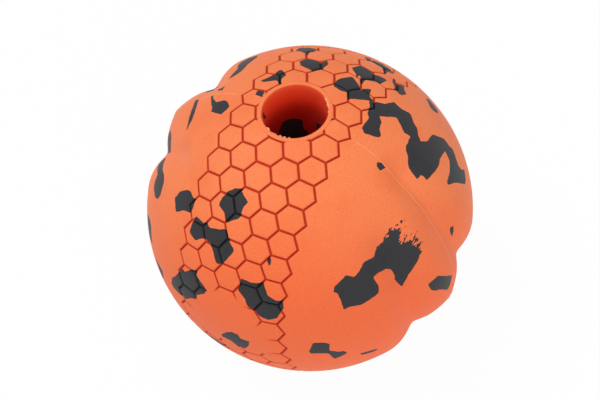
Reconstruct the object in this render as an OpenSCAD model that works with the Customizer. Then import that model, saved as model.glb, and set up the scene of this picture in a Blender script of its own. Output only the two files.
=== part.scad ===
// Treat dispensing ball: two bonded rubber half shells with chips of black rubber set flush in them.
// The treat hole is at the top, along Z. The honeycomb band runs round the ball in the YZ plane.
// Places on the ball are angles: lon runs along the band from the hole, lat runs across it.

/* [Ball] */
// Diameter of the ball over its plain cheeks
ball_d = 80; // [72:1:100]
// Thickness of the rubber wall around the middle
wall = 12; // [10:0.5:14]

/* [Treat hole] */
// Diameter of the hole that the treats go through
hole_d = 15.7; // [13:0.1:18]
// Width of the smooth lip round the hole, where the grooves stop
lip_w = 1.5; // [0.8:0.1:2.5]
// Height of the lip above the ball
lip_rise = 0.12; // [0.06:0.02:0.3]
// Straight length of the throat below the lip
throat_l = 8; // [6:0.5:9]
// Radius of the round that leads the throat into the chamber
throat_round = 9; // [6:0.5:10]

/* [Vent hole] */
// Diameter of the vent hole opposite the treat hole
vent_d = 5; // [3:0.5:7]

/* [Honeycomb band] */
// Width of one honeycomb cell across its flats
cell_w = 6.5; // [6:0.1:7.5]
// Width of the groove between two cells
groove_w = 0.6; // [0.4:0.05:0.9]
// Depth of the groove between two cells
groove_depth = 0.5; // [0.3:0.05:0.8]

/* [Valleys] */
// Depth of the valleys on the cheeks before the crease is blunted
valley_depth = 3; // [1.5:0.1:3.4]
// Width of a valley from its crease to its shoulder
valley_w = 9.6; // [8:0.1:10.4]
// Radius that blunts the crease of a valley
crease_round = 0.95; // [0.5:0.05:1.2]
// Rise of the lobe between the two valleys of a cheek
lobe_rise = 0.5; // [0:0.1:0.8]
// Width of that lobe from its crest to where it has died away
lobe_w = 3; // [2:0.1:5]

/* [Black chips] */
// Depth that a black chip reaches into the wall
chip_depth = 4; // [3.6:0.1:5]
// Least distance from the edge of the lip to the middle of a chip beside it
chip_gap = 0.9; // [0.5:0.1:3]

/* [Hidden] */
ball_r = ball_d/2;
hole_r = hole_d/2;
chamber_r = ball_r - wall;
lip_r = hole_r + lip_w;
collar_r = lip_r + lip_w/10;
overrun = wall/12;
degree_l = ball_r*PI/180;
hole_angle = asin(lip_r/ball_r);

// The band: rows of cells, and columns half a cell apart. The first column after the parting line is nearer.
rows = 5;
mid_row = (rows - 1)/2;
first_step_share = 0.78;
odd_steps = 2*floor((360*degree_l/cell_w - 2*first_step_share)/2) + 1;
step = 180/(odd_steps + 2*first_step_share);
columns = odd_steps + 2;
side = 2*step/sqrt(3);
groove_share = groove_w/cell_w;
band_edge = (1.5*mid_row + 1)*side;

// The cheeks: rings from the band to the pole
rings = 15;
first_ring = band_edge + side/2;

// The bare panel in the front of the band, between two lons. It starts sooner on the lines of the middle row.
panel_from = 74;
middle_from = 66;
panel_to = 102;

// Black chips, each an outline of [lon, lat] points. Rear places have a lon below zero.
// An outline that crosses the parting line ends there, on the half that holds most of it.
seen_chips = [
    [[28.5, 65.5], [38.5, 64.5], [47.5, 63], [57.5, 61.5], [48, 57.5], [45, 55], [45, 52], [50.5, 49],
     [51.5, 51], [59, 53], [63.5, 50], [66.5, 46.5], [68.5, 41.5], [63.5, 40], [57.5, 36.5], [50.5, 40],
     [51.5, 43], [41.5, 45], [40, 47], [33.5, 47.5], [22.5, 52], [27.5, 54], [28, 57.5], [26, 60]],
    [[4.5, -24], [10.5, -24.5], [10, -30], [5.5, -31.5], [3.5, -34.5], [-1, -37.5], [-1, -34], [4.5, -30.5],
     [3.5, -27]],
    [[-1, 37.2], [4, 35.5], [2, 33.5], [-1, 34]],
    [[36, 0.5], [37, -0.5], [41.5, -0.5], [42.5, -2], [45, -4.5], [42.5, -6], [41, -10], [37, -8.5],
     [33.5, -6.5], [32.5, -4], [34.5, -2.5]],
    [[53.5, 1], [60, -2.5], [60.5, -4.5], [57, -6.5], [54.5, -10.5], [56.5, -15], [55.5, -18.5],
     [48.5, -18.5], [49.5, -14], [48.5, -11.5], [49.5, -10], [47.5, -5], [48.5, -3.5], [52, -0.5]],
    [[43.5, -20.5], [48, -20.5], [49, -23.5], [52, -27], [47, -29.5], [42.5, -27.5], [41, -23.5]],
    [[69.5, 21], [75.5, 19.5], [76.5, 16], [75.5, 12.5], [74, 9.5], [70, 7.5], [66.5, 5], [62, 5],
     [62.5, 8.5], [61.5, 13], [66.5, 14.5], [67.5, 20]],
    [[51.5, 13.5], [54, 14.5], [53, 12.5]],
    [[73, -7], [76, -9], [78, -11.5], [81.5, -12.5], [85.5, -17.5], [87.5, -25.5], [80.5, -25],
     [75.5, -20.5], [72, -20.5], [68, -14], [68.5, -12], [70.5, -11.5]],
    [[91.5, 8.5], [94, 8], [98.5, 5.5], [99, 3.5], [96.5, 1], [96, -3.5], [92, -1.5], [89.5, 1.5],
     [89.5, 3.5]],
    [[88, 35], [95.5, 36.5], [98.5, 40.5], [101.5, 41.5], [105, 36.5], [100, 36.5], [96.5, 32.5],
     [95.5, 29], [88, 31.5]],
    [[105, -3], [108.5, -6], [108, -11], [104.5, -12], [103.5, -7]],
    [[107, 50], [112, 49], [113, 46], [108, 45]],
    [[50, 77], [62, 73], [75, 76.5], [88.5, 79.5], [118, 81], [155, 81], [154, 85], [128, 87.5], [58, 83.5]],
    [[51, -39], [44.5, -39], [37.5, -45], [32, -45], [38.5, -49.5], [47.5, -49.5], [52.5, -47.5], [54, -43]],
    [[80.5, -42.5], [70, -44.5], [69.5, -49], [73, -53], [82.5, -50]],
    [[85.5, -33], [86, -40], [97, -36], [91, -33.5]],
    [[-59.5, 60.5], [-44, 60.5], [-26, 57.5], [-31.5, 56.5], [-38.5, 51], [-26.5, 50.5], [-9.5, 51.5],
     [-6.5, 48], [-7.5, 44], [-11.5, 42], [-12, 39], [-19.5, 37], [-22, 29.5], [-17, 25], [-14, 28],
     [-8.5, 29.5], [-5, 24.5], [-6.5, 22], [-18, 19], [-15.5, 14.5], [-14.5, 12.5], [-16, 10.5],
     [-15.5, 5.5], [-22.5, 5.5], [-25.5, 8.5], [-22, 11.5], [-21.5, 13.5], [-25, 16], [-20, 20.5],
     [-27.5, 25], [-27.5, 29.5], [-31, 31.5], [-24, 40], [-26.5, 42], [-34.5, 40.5], [-44, 44.5],
     [-49.5, 49], [-48.5, 52.5], [-54, 56.5], [-61, 54.5]],
    [[-38.5, 24.5], [-34, 24.5], [-34.5, 21.5], [-37, 19.5], [-38.5, 17.5], [-42.5, 16], [-41, 19.5],
     [-43, 21.5]],
    [[-37.5, 16.5], [-31.5, 16.5], [-29, 14], [-28, 11.5], [-26.5, 9.5], [-30.5, 5], [-35.5, 6],
     [-36, 8.5], [-34.5, 11.5], [-35.5, 13.5]],
    [[-26.5, -1.5], [-21.5, -1.5], [-18.5, -5], [-19.5, -9.5], [-24, -11.5], [-26.5, -10], [-27, -6],
     [-28.5, -4]],
    [[-12.5, -10.5], [-8, -10], [-6.5, -10.5], [-6.5, -12], [-9.5, -12.5], [-7.5, -18.5], [-12, -15],
     [-15.5, -15.5], [-15.5, -14]],
    [[-3.5, -13.5], [1, -13], [1, -16.5], [-3, -16.5]],
    [[-45, 15], [-43.5, 11], [-44.5, 6], [-44, 2], [-47, 1], [-49, 5], [-48, 10], [-48.5, 14]],
    [[-37, -11], [-33, -12], [-31.5, -15], [-33, -19], [-37.5, -18.5], [-38.5, -14.5]],
    [[-57, 35], [-52, 34], [-48.5, 31], [-51, 28], [-57, 29]],
    [[-19, 73], [-14, 76.5], [-8.5, 74.5], [-11.5, 72]],
    [[-7.5, -34.5], [-15.5, -30.5], [-23.5, -31.5], [-30.5, -32.5], [-29, -35], [-25, -40], [-19.5, -37],
     [-13, -34.5]],
    [[-1, -44.5], [6.5, -41], [10, -39.5], [14.5, -38.5], [19.5, -38.5], [14.5, -40.5], [10.5, -41.5],
     [6, -44], [-1, -47.5]],
    [[17, -58.5], [22.5, -54], [27, -55], [31.5, -55], [33, -60], [27, -64], [20, -63.5]],
    [[-9, -46.5], [-10.5, -51], [-18, -53.5], [-24, -52], [-20, -48.5], [-12, -46]],
    [[-2, -32], [-4.5, -32.5], [-4, -36], [-2, -34.5]]
];
// Chips on the far side: the outline that each repeats, its turn along the band and 1 or -1 for its hand
far_places = [[4, 90, -1], [5, 115, -1], [0, 100, -1], [6, 55, -1], [15, 70, -1], [9, 72, 1],
    [17, -100, -1], [8, -160, -1], [4, -140, 1], [10, -215, 1], [3, -180, -1], [14, -130, 1],
    [6, -240, 1], [5, -190, -1], [0, -195, 1]];
far_chips = [for (p = far_places) [for (q = seen_chips[p[0]]) [q[0] + p[1], p[2]*q[1]]]];

// A chip moves away from the treat hole where the lip needs its place
function clear_of_lip(chip) =
    let(middle = [for (q = chip) 1]*chip/len(chip),
        move = middle*max(0, (hole_angle + chip_gap/degree_l)/norm(middle) - 1))
    [for (q = chip) q + move];
chips = [for (chip = concat(seen_chips, far_chips)) clear_of_lip(chip)];

// A chip that reaches past this lat is cut from the whole half, and not from a few columns of it
polar_lat = 70;

function chip_name(k) = str("black_chip_", k < 9 ? "0" : "", k + 1);
$fn = 96;

function even(n) = abs(n) % 2 == 0;
function ease(x) = let(y = min(1, max(0, x))) y*y*(3 - 2*y);

// Point on the ball. hand is 1 for the front half and -1 for the rear one, whose lons count the other way.
function place(lon, lat, r, hand) = r*[sin(lat), -hand*cos(lat)*sin(lon), cos(lat)*cos(lon)];

// Two valleys cross each cheek: straight, then bent towards the rear of the right cheek.
// Their places are angles from the cheek's pole, v along and u across. The left cheek's run the other way.
first_run = [-1.9, 11.5];
second_run = [23.3, -9.3];
bend_slope = 0.49;
bend_l = 8;
left_shift = 4;
first_ends = [-56, 60];
second_ends = [-58, 44];
lobe_ends = [-56, 46];
end_fade = 16;
function shift(lat) = lat < 0 ? left_shift : 0;
function across(lon, lat, hand) = sign(lat)*hand*(90 - abs(lat))*sin(lon) - shift(lat);
function along(lon, lat) = sign(lat)*(90 - abs(lat))*cos(lon);
function run_u(v, run) = run[0] - bend_slope*bend_l*ln(1 + exp((run[1] - v)/bend_l));
function run_slope(v, run) = bend_slope/(1 + exp((v - run[1])/bend_l));
function off_run(u, v, run) = (u - run_u(v, run))/norm([1, run_slope(v, run)]);
function fade(v, ends) = ease((v - ends[0])/end_fade)*ease((ends[1] - v)/end_fade);
function flank(off) = let(x = norm([off*degree_l, crease_round])/valley_w) x < 1 ? pow(1 - x, 2) : 0;
function dip(u, v) =
    valley_depth*flank(off_run(u, v, first_run))*fade(v, first_ends)
    + valley_depth*flank(off_run(u, v, second_run))*fade(v, second_ends)
    - lobe_rise*fade(v, lobe_ends)
      *exp(-pow((u - (run_u(v, first_run) + run_u(v, second_run))/2)*degree_l/lobe_w, 2));
function skin_r(lon, lat, hand) =
    abs(lat) < band_edge + side/4 ? ball_r : ball_r - dip(across(lon, lat, hand), along(lon, lat));

// Points of the mesh near a crease move onto it, but for those on the parting line and close to it
snap_share = 0.9;
snap_reach = 2.6;
parting_reach = 5;
function snap(off) = snap_share*off*exp(-pow(off/snap_reach, 2));
function snapped(lon, lat, hand) =
    let(c = sign(lat), u = across(lon, lat, hand), v = along(lon, lat), from_line = abs(u + shift(lat)),
        hold = (lon == 0 || lon == 180) ? 0 : fade(v, first_ends)*ease(from_line/parting_reach),
        w = u + shift(lat) - hold*(snap(u - run_u(v, first_run)) + snap(u - run_u(v, second_run))))
    [atan2(c*hand*w, c*v), c*(90 - norm([w, v]))];

// Corners of the honeycomb: column and line of the lattice
function column_lon(j) = j == 0 ? 0 : j == columns ? 180 : (first_step_share + j - 1)*step;
function row_lat(r) = (r - mid_row)*1.5*side;
function line_lat(i, j) =
    let(up = i > mid_row, r = up ? i - 1 : i)
    row_lat(r) + (up ? side : -side)*(even(r - mid_row + j) ? 1 : 0.5);
function bare_from(i) = abs(i - rows/2) < 1 ? middle_from : panel_from;
function is_bare(i, j, hand) = hand == 1 && column_lon(j - 1) > bare_from(i) && column_lon(j + 1) < panel_to;
function corner_depth(i, j, hand) = i > 0 && i < rows && is_bare(i, j, hand) ? 0 : groove_depth;
function corner(i, j, hand) =
    place(column_lon(j), line_lat(i, j), ball_r - corner_depth(i, j, hand), hand);
function land(r, mid, i, j, hand) =
    place(column_lon(mid) + (column_lon(j) - column_lon(mid))*(1 - groove_share),
        row_lat(r) + (line_lat(i, j) - row_lat(r))*(1 - groove_share), ball_r, hand);
function centre(r, j, hand) = place(column_lon(j), row_lat(r), ball_r, hand);
function quad(a, b, c, d) = [[a, b, c], [a, c, d]];

// One cell: its raised land and the half grooves round it. A cell at the end of a piece is cut in two.
function cell(r, mid, j0, j1, hand) =
    let(a = max(mid - 1, j0), b = min(mid + 1, j1),
        ring = concat([for (j = [a:b]) [r, j]], [for (j = [b:-1:a]) [r + 1, j]]), n = len(ring))
    [for (k = [0:n - 1]) let(p = ring[k], q = ring[(k + 1) % n]) if (p[1] != mid || q[1] != mid)
        let(land_p = land(r, mid, p[0], p[1], hand), land_q = land(r, mid, q[0], q[1], hand))
        each concat([[centre(r, mid, hand), land_p, land_q]],
            quad(corner(p[0], p[1], hand), corner(q[0], q[1], hand), land_q, land_p))];

// A cheek: c is 1 or -1 for its side of the band
function cheek_point(c, k, j, hand) =
    k == 0 ? place(column_lon(j), line_lat(c > 0 ? rows : 0, j) + c*groove_w/2/cos(30)/degree_l, ball_r, hand)
    : k == rings ? place(0, c*90, skin_r(0, c*90, hand), hand)
    : let(q = snapped(column_lon(j), c*(first_ring + (90 - first_ring)*(k - 1)/(rings - 1)), hand))
        place(q[0], q[1], skin_r(q[0], q[1], hand), hand);
function cheek(c, j0, j1, hand) =
    [for (j = [j0:j1 - 1]) let(i = c > 0 ? rows : 0) each concat(
        quad(corner(i, j, hand), corner(i, j + 1, hand),
            cheek_point(c, 0, j + 1, hand), cheek_point(c, 0, j, hand)),
        [for (k = [0:rings - 2]) each quad(cheek_point(c, k, j, hand), cheek_point(c, k, j + 1, hand),
            cheek_point(c, k + 1, j + 1, hand), cheek_point(c, k + 1, j, hand))],
        [[for (s = [0, 1]) cheek_point(c, rings - 1, j + s, hand), cheek_point(c, rings, j, hand)]])];

// Flat side of a piece of the ball, from its outline at one column to the middle of the ball
function outline(j, hand) = concat(
    [for (k = [rings:-1:0]) cheek_point(-1, k, j, hand)], [corner(0, j, hand)],
    [for (r = [0:rows - 1]) each concat(
        even(r - mid_row + j) ? [land(r, j, r, j, hand), centre(r, j, hand), land(r, j, r + 1, j, hand)] : [],
        [corner(r + 1, j, hand)])],
    [for (k = [0:rings]) cheek_point(1, k, j, hand)]);
function side_face(j, hand) =
    let(p = outline(j, hand)) [for (k = [0:len(p) - 2]) [p[k], p[k + 1], [0, 0, 0]]];
function turned(faces) = [for (f = faces) [f[0], f[2], f[1]]];

// Solid segment of the ball between two columns, out to its skin
module segment(hand, j0, j1) {
    seen = concat(
        [for (r = [0:rows - 1]) for (mid = [j0:j1]) if (even(r - mid_row + mid))
            each cell(r, mid, j0, j1, hand)],
        cheek(1, j0, j1, hand), turned(cheek(-1, j0, j1, hand)),
        side_face(j0, hand), turned(side_face(j1, hand)));
    faces = hand > 0 ? turned(seen) : seen;
    polyhedron(points = [for (f = faces) each f],
        faces = [for (k = [0:len(faces) - 1]) [3*k, 3*k + 1, 3*k + 2]]);
}

// The hollow: straight throat, rounded down into the chamber, and the vent hole opposite
module hollow() {
    throat_low = ball_r*cos(hole_angle) - throat_l;
    rotate(45) rotate_extrude() polygon(concat(
        [[0, ball_r + overrun], [hole_r, ball_r + overrun]],
        [for (a = [0:10:60]) [hole_r + throat_round*(1 - cos(a)), throat_low - throat_round*sin(a)]],
        [for (a = [50:-7:-90]) chamber_r*[cos(a), sin(a)]]));
    rotate(45) mirror([0, 0, 1]) cylinder(h = ball_r + overrun, d = vent_d);
}

// Smooth lip that closes the grooves round the treat hole
module lip(hand) {
    intersection() {
        rotate(45) intersection() {
            sphere(ball_r + lip_rise);
            translate([0, 0, ball_r - wall/2]) cylinder(h = wall, r = lip_r);
        }
        translate([-ball_r/2, hand > 0 ? -ball_r : 0, ball_r/2]) cube(ball_r);
    }
}

// Straight-sided plug of a chip's outline, down to its seat in the wall and clear of the throat's collar
module plug(chip) {
    way = [for (q = chip) place(q[0], q[1], 1, 1)];
    middle = [for (q = chip) 1]*way;
    lat = atan2(middle[0], norm([middle[1], middle[2]]));
    lon = atan2(-middle[1], middle[2]);
    rotate([lon, 0, 0]) rotate([0, lat, 0]) difference() {
        linear_extrude(ball_r + overrun)
            polygon([for (q = chip) let(d = place(q[0] - lon, q[1], ball_r, 1))
                [d[0]*cos(lat) - d[2]*sin(lat), d[1]]]);
        sphere(ball_r - chip_depth);
        if (min([for (q = chip) norm(q)]) < 2*hole_angle)
            rotate([0, -lat, 0]) rotate([-lon, 0, 0]) cylinder(h = ball_r + overrun, r = collar_r);
    }
}

function chip_hand(chip) = sign([for (q = chip) 1]*[for (q = chip) sin(q[0])]);
function turn_lon(lon) = abs(lon - 360*round(lon/360));
function spread(chip) = let(lons = [for (q = chip) turn_lon(q[0])]) [min(lons), max(lons)];
function is_polar(chip) = max([for (q = chip) abs(q[1])]) > polar_lat;
function first_column(chip) = is_polar(chip) ? 0 : max(0, floor(spread(chip)[0]/step) - 1);
function last_column(chip) = is_polar(chip) ? columns : min(columns, ceil(spread(chip)[1]/step) + 2);

module half_shell(hand) {
    difference() {
        union() {
            segment(hand, 0, columns);
            lip(hand);
        }
        hollow();
        for (chip = chips) if (chip_hand(chip) == hand) plug(chip);
    }
}

module front_half_shell() {
    color("coral") half_shell(1);
}

module rear_half_shell() {
    color("coral") half_shell(-1);
}

module black_chip(chip) {
    color("dimgray") intersection() {
        segment(chip_hand(chip), first_column(chip), last_column(chip));
        plug(chip);
    }
}

front_half_shell();
rear_half_shell();
for (k = [0:len(chips) - 1]) black_chip(chips[k]);
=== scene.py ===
"""Treat dispensing ball: two bonded rubber half shells with chips of black rubber set flush in them.

Shapes are worked out in millimetres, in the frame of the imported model, and scaled to metres when a
mesh is made. The treat hole is at the top, along Z. The honeycomb band runs round the ball in the
YZ plane, the cheeks face +X and -X, and the parting line lies in the plane y = 0. A place on the
ball is given by lon, the angle along the band from the treat hole, and lat, the angle across it.
"""

from __future__ import annotations

import logging
import math
from collections.abc import Callable, Iterable
from dataclasses import dataclass, field
from enum import Enum

import bmesh
import bpy
import numpy as np
from mathutils import Matrix, Vector

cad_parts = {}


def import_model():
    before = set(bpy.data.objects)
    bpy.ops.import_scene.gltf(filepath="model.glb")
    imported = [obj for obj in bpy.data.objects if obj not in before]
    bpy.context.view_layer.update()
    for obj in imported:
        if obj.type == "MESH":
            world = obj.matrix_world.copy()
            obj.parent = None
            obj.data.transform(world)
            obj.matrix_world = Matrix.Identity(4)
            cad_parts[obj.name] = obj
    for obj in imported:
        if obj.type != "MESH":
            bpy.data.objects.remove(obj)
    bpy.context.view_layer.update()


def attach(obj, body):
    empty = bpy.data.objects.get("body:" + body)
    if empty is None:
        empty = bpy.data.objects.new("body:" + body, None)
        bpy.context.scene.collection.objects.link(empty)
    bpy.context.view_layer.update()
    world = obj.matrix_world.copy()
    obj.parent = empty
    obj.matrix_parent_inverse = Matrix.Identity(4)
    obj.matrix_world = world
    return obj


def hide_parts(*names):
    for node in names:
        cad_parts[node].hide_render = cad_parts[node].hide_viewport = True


Outline = list[tuple[float, float]]
Corner = tuple[int, int]
Triangle = tuple[int, int, int]
Layers = dict[str, np.ndarray]
Solid = tuple[np.ndarray, np.ndarray, Layers]
Colour = tuple[float, float, float]
Span = tuple[float, float, float]
Gap = Callable[[np.ndarray], np.ndarray]

LOG = logging.getLogger("treat_ball")
MM = 0.001
BALL_R = 40.0
BODY = "root"
SHARP_DEG = 50.0
# Points nearer to the parting plane than this lie on it, as parts of the ball's radius
ON_PLANE = 1e-9
# Points nearer to a hole's edge than this lie on it, in millimetres
ON_EDGE = 4e-5
# Keeps a division by a length of nothing finite
TINY = 1e-12
# The label of the shell's faces, and of those that a hole takes out
SHELL_LABEL = 0
HOLE_LABEL = -1
# The triangles of a split face by the number of its split edges, from its corners 0 to 2 and the
# middles 3 to 5 of its edges
SPLITS: dict[int, tuple[Triangle, ...]] = {
    1: ((0, 3, 2), (3, 1, 2)),
    2: ((3, 1, 4), (0, 3, 4), (0, 4, 2)),
    3: ((0, 3, 5), (3, 1, 4), (5, 4, 2), (3, 4, 5)),
}


class Half(Enum):
    """The two halves of the ball, by the sign that turns lon towards them."""

    FRONT = 1
    REAR = -1


class Edge(Enum):
    """How the outline of a black chip looks: the reach of its raggedness in millimetres."""

    CLEAN = 0.07
    FRAYED = 0.45


def ease(x: np.ndarray) -> np.ndarray:
    """Smooth step from 0 at x = 0 to 1 at x = 1."""
    y = np.clip(x, 0.0, 1.0)
    return y * y * (3.0 - 2.0 * y)


def unit(v: np.ndarray) -> np.ndarray:
    """Vectors of length one along v."""
    return v / np.linalg.norm(v, axis=-1, keepdims=True)


def place(lon: np.ndarray, lat: np.ndarray, half: Half) -> np.ndarray:
    """Directions from the middle of the ball.

    Args:
        lon: Angles along the band from the treat hole, in degrees, 0 to 180 in either half.
        lat: Angles across the band, in degrees.
        half: The half of the ball.

    Returns:
        One unit vector per place.
    """
    a, b = np.radians(lon), np.radians(lat)
    return np.stack([np.sin(b), -half.value * np.cos(b) * np.sin(a), np.cos(b) * np.cos(a)], -1)


def arc(middle: tuple[float, float], r: float, angles: Iterable[float]) -> Outline:
    """Points on an arc of a profile.

    Args:
        middle: Radius and height of its middle.
        r: Its radius.
        angles: The angle of each point in degrees, from straight outwards and up.

    Returns:
        Radius and height of each point.
    """
    turns = [math.radians(a) for a in angles]
    return [(middle[0] + r * math.cos(t), middle[1] + r * math.sin(t)) for t in turns]


def split_quads(a: np.ndarray, b: np.ndarray, c: np.ndarray, d: np.ndarray) -> np.ndarray:
    """Two triangles for each face with the corners a, b, c and d."""
    halves = [np.stack([a, b, c], -1), np.stack([a, c, d], -1)]
    return np.concatenate([half.reshape(-1, 3) for half in halves])


def grid_faces(rows: int, width: int, closed: bool, base: int) -> np.ndarray:
    """Triangles between rows of points.

    Args:
        rows: Number of rows.
        width: Number of points in each.
        closed: Whether each row closes on itself.
        base: Number of the first point.

    Returns:
        Triangles as point numbers.
    """
    k, i = np.meshgrid(np.arange(rows - 1), np.arange(width if closed else width - 1), indexing="ij")
    a = base + k * width + i
    b = base + k * width + (i + 1) % width
    return split_quads(a, b, b + width, a + width)


def fan_faces(first: int, width: int, closed: bool, tip: int) -> np.ndarray:
    """Triangles from a row of points to one point.

    Args:
        first: Number of the row's first point.
        width: Number of points in the row.
        closed: Whether the row closes on itself.
        tip: Number of the one point.

    Returns:
        Triangles as point numbers.
    """
    i = np.arange(width if closed else width - 1)
    return np.stack([first + i, first + (i + 1) % width, np.full(len(i), tip)], 1)


def bar_faces(length: int) -> np.ndarray:
    """Triangles of a closed bar with three edges, its points numbered edge by edge.

    Args:
        length: Number of points along each edge.

    Returns:
        Triangles as point numbers.
    """
    i = np.arange(length - 1)
    faces = []
    for p, q in ((0, 1), (1, 2), (2, 0)):
        near, far = p * length + i, q * length + i
        faces.append(split_quads(near, far, far + 1, near + 1))
    start = np.array([[0, length, 2 * length]])
    end = np.array([[length - 1, 3 * length - 1, 2 * length - 1]])
    return np.vstack([*faces, start, end])


def zipped(a: np.ndarray, a_at: np.ndarray, b: np.ndarray, b_at: np.ndarray) -> list[Triangle]:
    """Triangles between two rows of points.

    Args:
        a: Point numbers of the first row.
        a_at: Where each lies along the row, rising.
        b: Point numbers of the second row.
        b_at: Where each lies along that row, rising.

    Returns:
        Triangles as point numbers.
    """
    faces, i, j = [], 0, 0
    while i < len(a) - 1 or j < len(b) - 1:
        if j == len(b) - 1 or (i < len(a) - 1 and a_at[i + 1] <= b_at[j + 1]):
            faces.append((a[i], a[i + 1], b[j]))
            i += 1
        else:
            faces.append((a[i], b[j + 1], b[j]))
            j += 1
    return faces


@dataclass
class Grain:
    """Smooth noise in space, the same on each run."""

    seed: int
    cells: int = 32
    tables_on: int = 8
    table: np.ndarray = field(init=False)

    def __post_init__(self) -> None:
        """Fills the table of values."""
        self.table = np.random.default_rng(self.seed).uniform(-1.0, 1.0, (self.cells,) * 3)

    def at(self, points: np.ndarray, size: float) -> np.ndarray:
        """Noise from -1 to 1. Places are moved on by whole tables, so that none is below zero.

        Args:
            points: Places in millimetres.
            size: Size of one bump in millimetres.

        Returns:
            One value per place.
        """
        p = points / size + self.cells * self.tables_on
        whole = np.floor(p).astype(int)
        part = ease(p - whole)
        total = np.zeros(len(points))
        for corner in np.ndindex(2, 2, 2):
            share = np.prod(np.where(np.array(corner), part, 1.0 - part), axis=1)
            i, j, k = ((whole + corner) % self.cells).T
            total += share * self.table[i, j, k]
        return total


@dataclass
class Honeycomb:
    """The honeycomb band: rows of cells, and columns half a cell apart.

    The bare panel of the front half lies between two lons. groove_gaps are distances from a groove's
    middle, and groove_drops the depths there, which round the groove's edges.
    """

    cell_w: float = 6.5
    rows: int = 5
    first_step_share: float = 0.78
    panel_from: float = 74.0
    middle_from: float = 66.0
    panel_to: float = 102.0
    groove_gaps: tuple[float, ...] = (0.0, 0.12, 0.22, 0.32, 0.46, 0.7)
    groove_drops: tuple[float, ...] = (0.55, 0.52, 0.38, 0.13, 0.03, 0.0)
    ring_shares: tuple[float, ...] = (0.55, 0.3)
    side_points: int = 6
    edge_slant_deg: float = 30.0

    def __post_init__(self) -> None:
        """Works out the lattice from the cell's width."""
        self.degree_l = BALL_R * math.pi / 180
        free = 360 * self.degree_l / self.cell_w - 2 * self.first_step_share
        self.odd_steps = 2 * math.floor(free / 2) + 1
        self.step = 180 / (self.odd_steps + 2 * self.first_step_share)
        self.columns = self.odd_steps + 2
        self.side = 2 * self.step / math.sqrt(3)
        self.mid_row = (self.rows - 1) // 2
        self.apothem = self.step * self.degree_l
        self.edge_slant = math.cos(math.radians(self.edge_slant_deg))

    @property
    def clear_gap(self) -> float:
        """A groove gap at which the skin is clear of every groove."""
        return self.groove_gaps[-1] * 2

    def column_lon(self, j: int) -> float:
        """Lon of a column of corners and centres.

        Args:
            j: Number of the column, from the treat hole.

        Returns:
            The lon in degrees, 0 or 180 on the parting line.
        """
        if j <= 0:
            return 0.0
        if j >= self.columns:
            return 180.0
        return (self.first_step_share + j - 1) * self.step

    def row_lat(self, row: int) -> float:
        """Lat of a row of cell centres."""
        return (row - self.mid_row) * 1.5 * self.side

    def line_lat(self, line: int, j: int) -> float:
        """Lat of the corner where a line of grooves crosses a column.

        Args:
            line: Number of the zigzag line, from the left cheek.
            j: Number of the column.

        Returns:
            The lat in degrees.
        """
        up = line > self.mid_row
        row = line - 1 if up else line
        reach = self.side if self.has_cell(row, j) else self.side / 2
        return self.row_lat(row) + (reach if up else -reach)

    def groove_on(self, line: int, j: int, half: Half) -> float:
        """Whether a corner has its grooves, which the bare panel of the front half leaves out.

        Args:
            line: Number of the zigzag line.
            j: Number of the column.
            half: The half of the ball.

        Returns:
            1 with its grooves and 0 without.
        """
        if half is Half.REAR or line in (0, self.rows):
            return 1.0
        start = self.middle_from if abs(line - self.rows / 2) < 1 else self.panel_from
        bare = self.column_lon(j - 1) > start and self.column_lon(j + 1) < self.panel_to
        return 0.0 if bare else 1.0

    def has_cell(self, row: int, j: int) -> bool:
        """True where a cell has its middle."""
        return abs(row - self.mid_row + j) % 2 == 0

    def drop(self, gap: np.ndarray, on: np.ndarray) -> np.ndarray:
        """Depth of the skin below the ball, from the gap to the nearest groove's middle."""
        return on * np.interp(gap, self.groove_gaps, self.groove_drops)

    def drop_share(self, points: np.ndarray) -> np.ndarray:
        """Share of a groove's full depth at each point of a sheet."""
        return self.drop(points[:, 3], points[:, 4]) / self.groove_drops[0]


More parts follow.
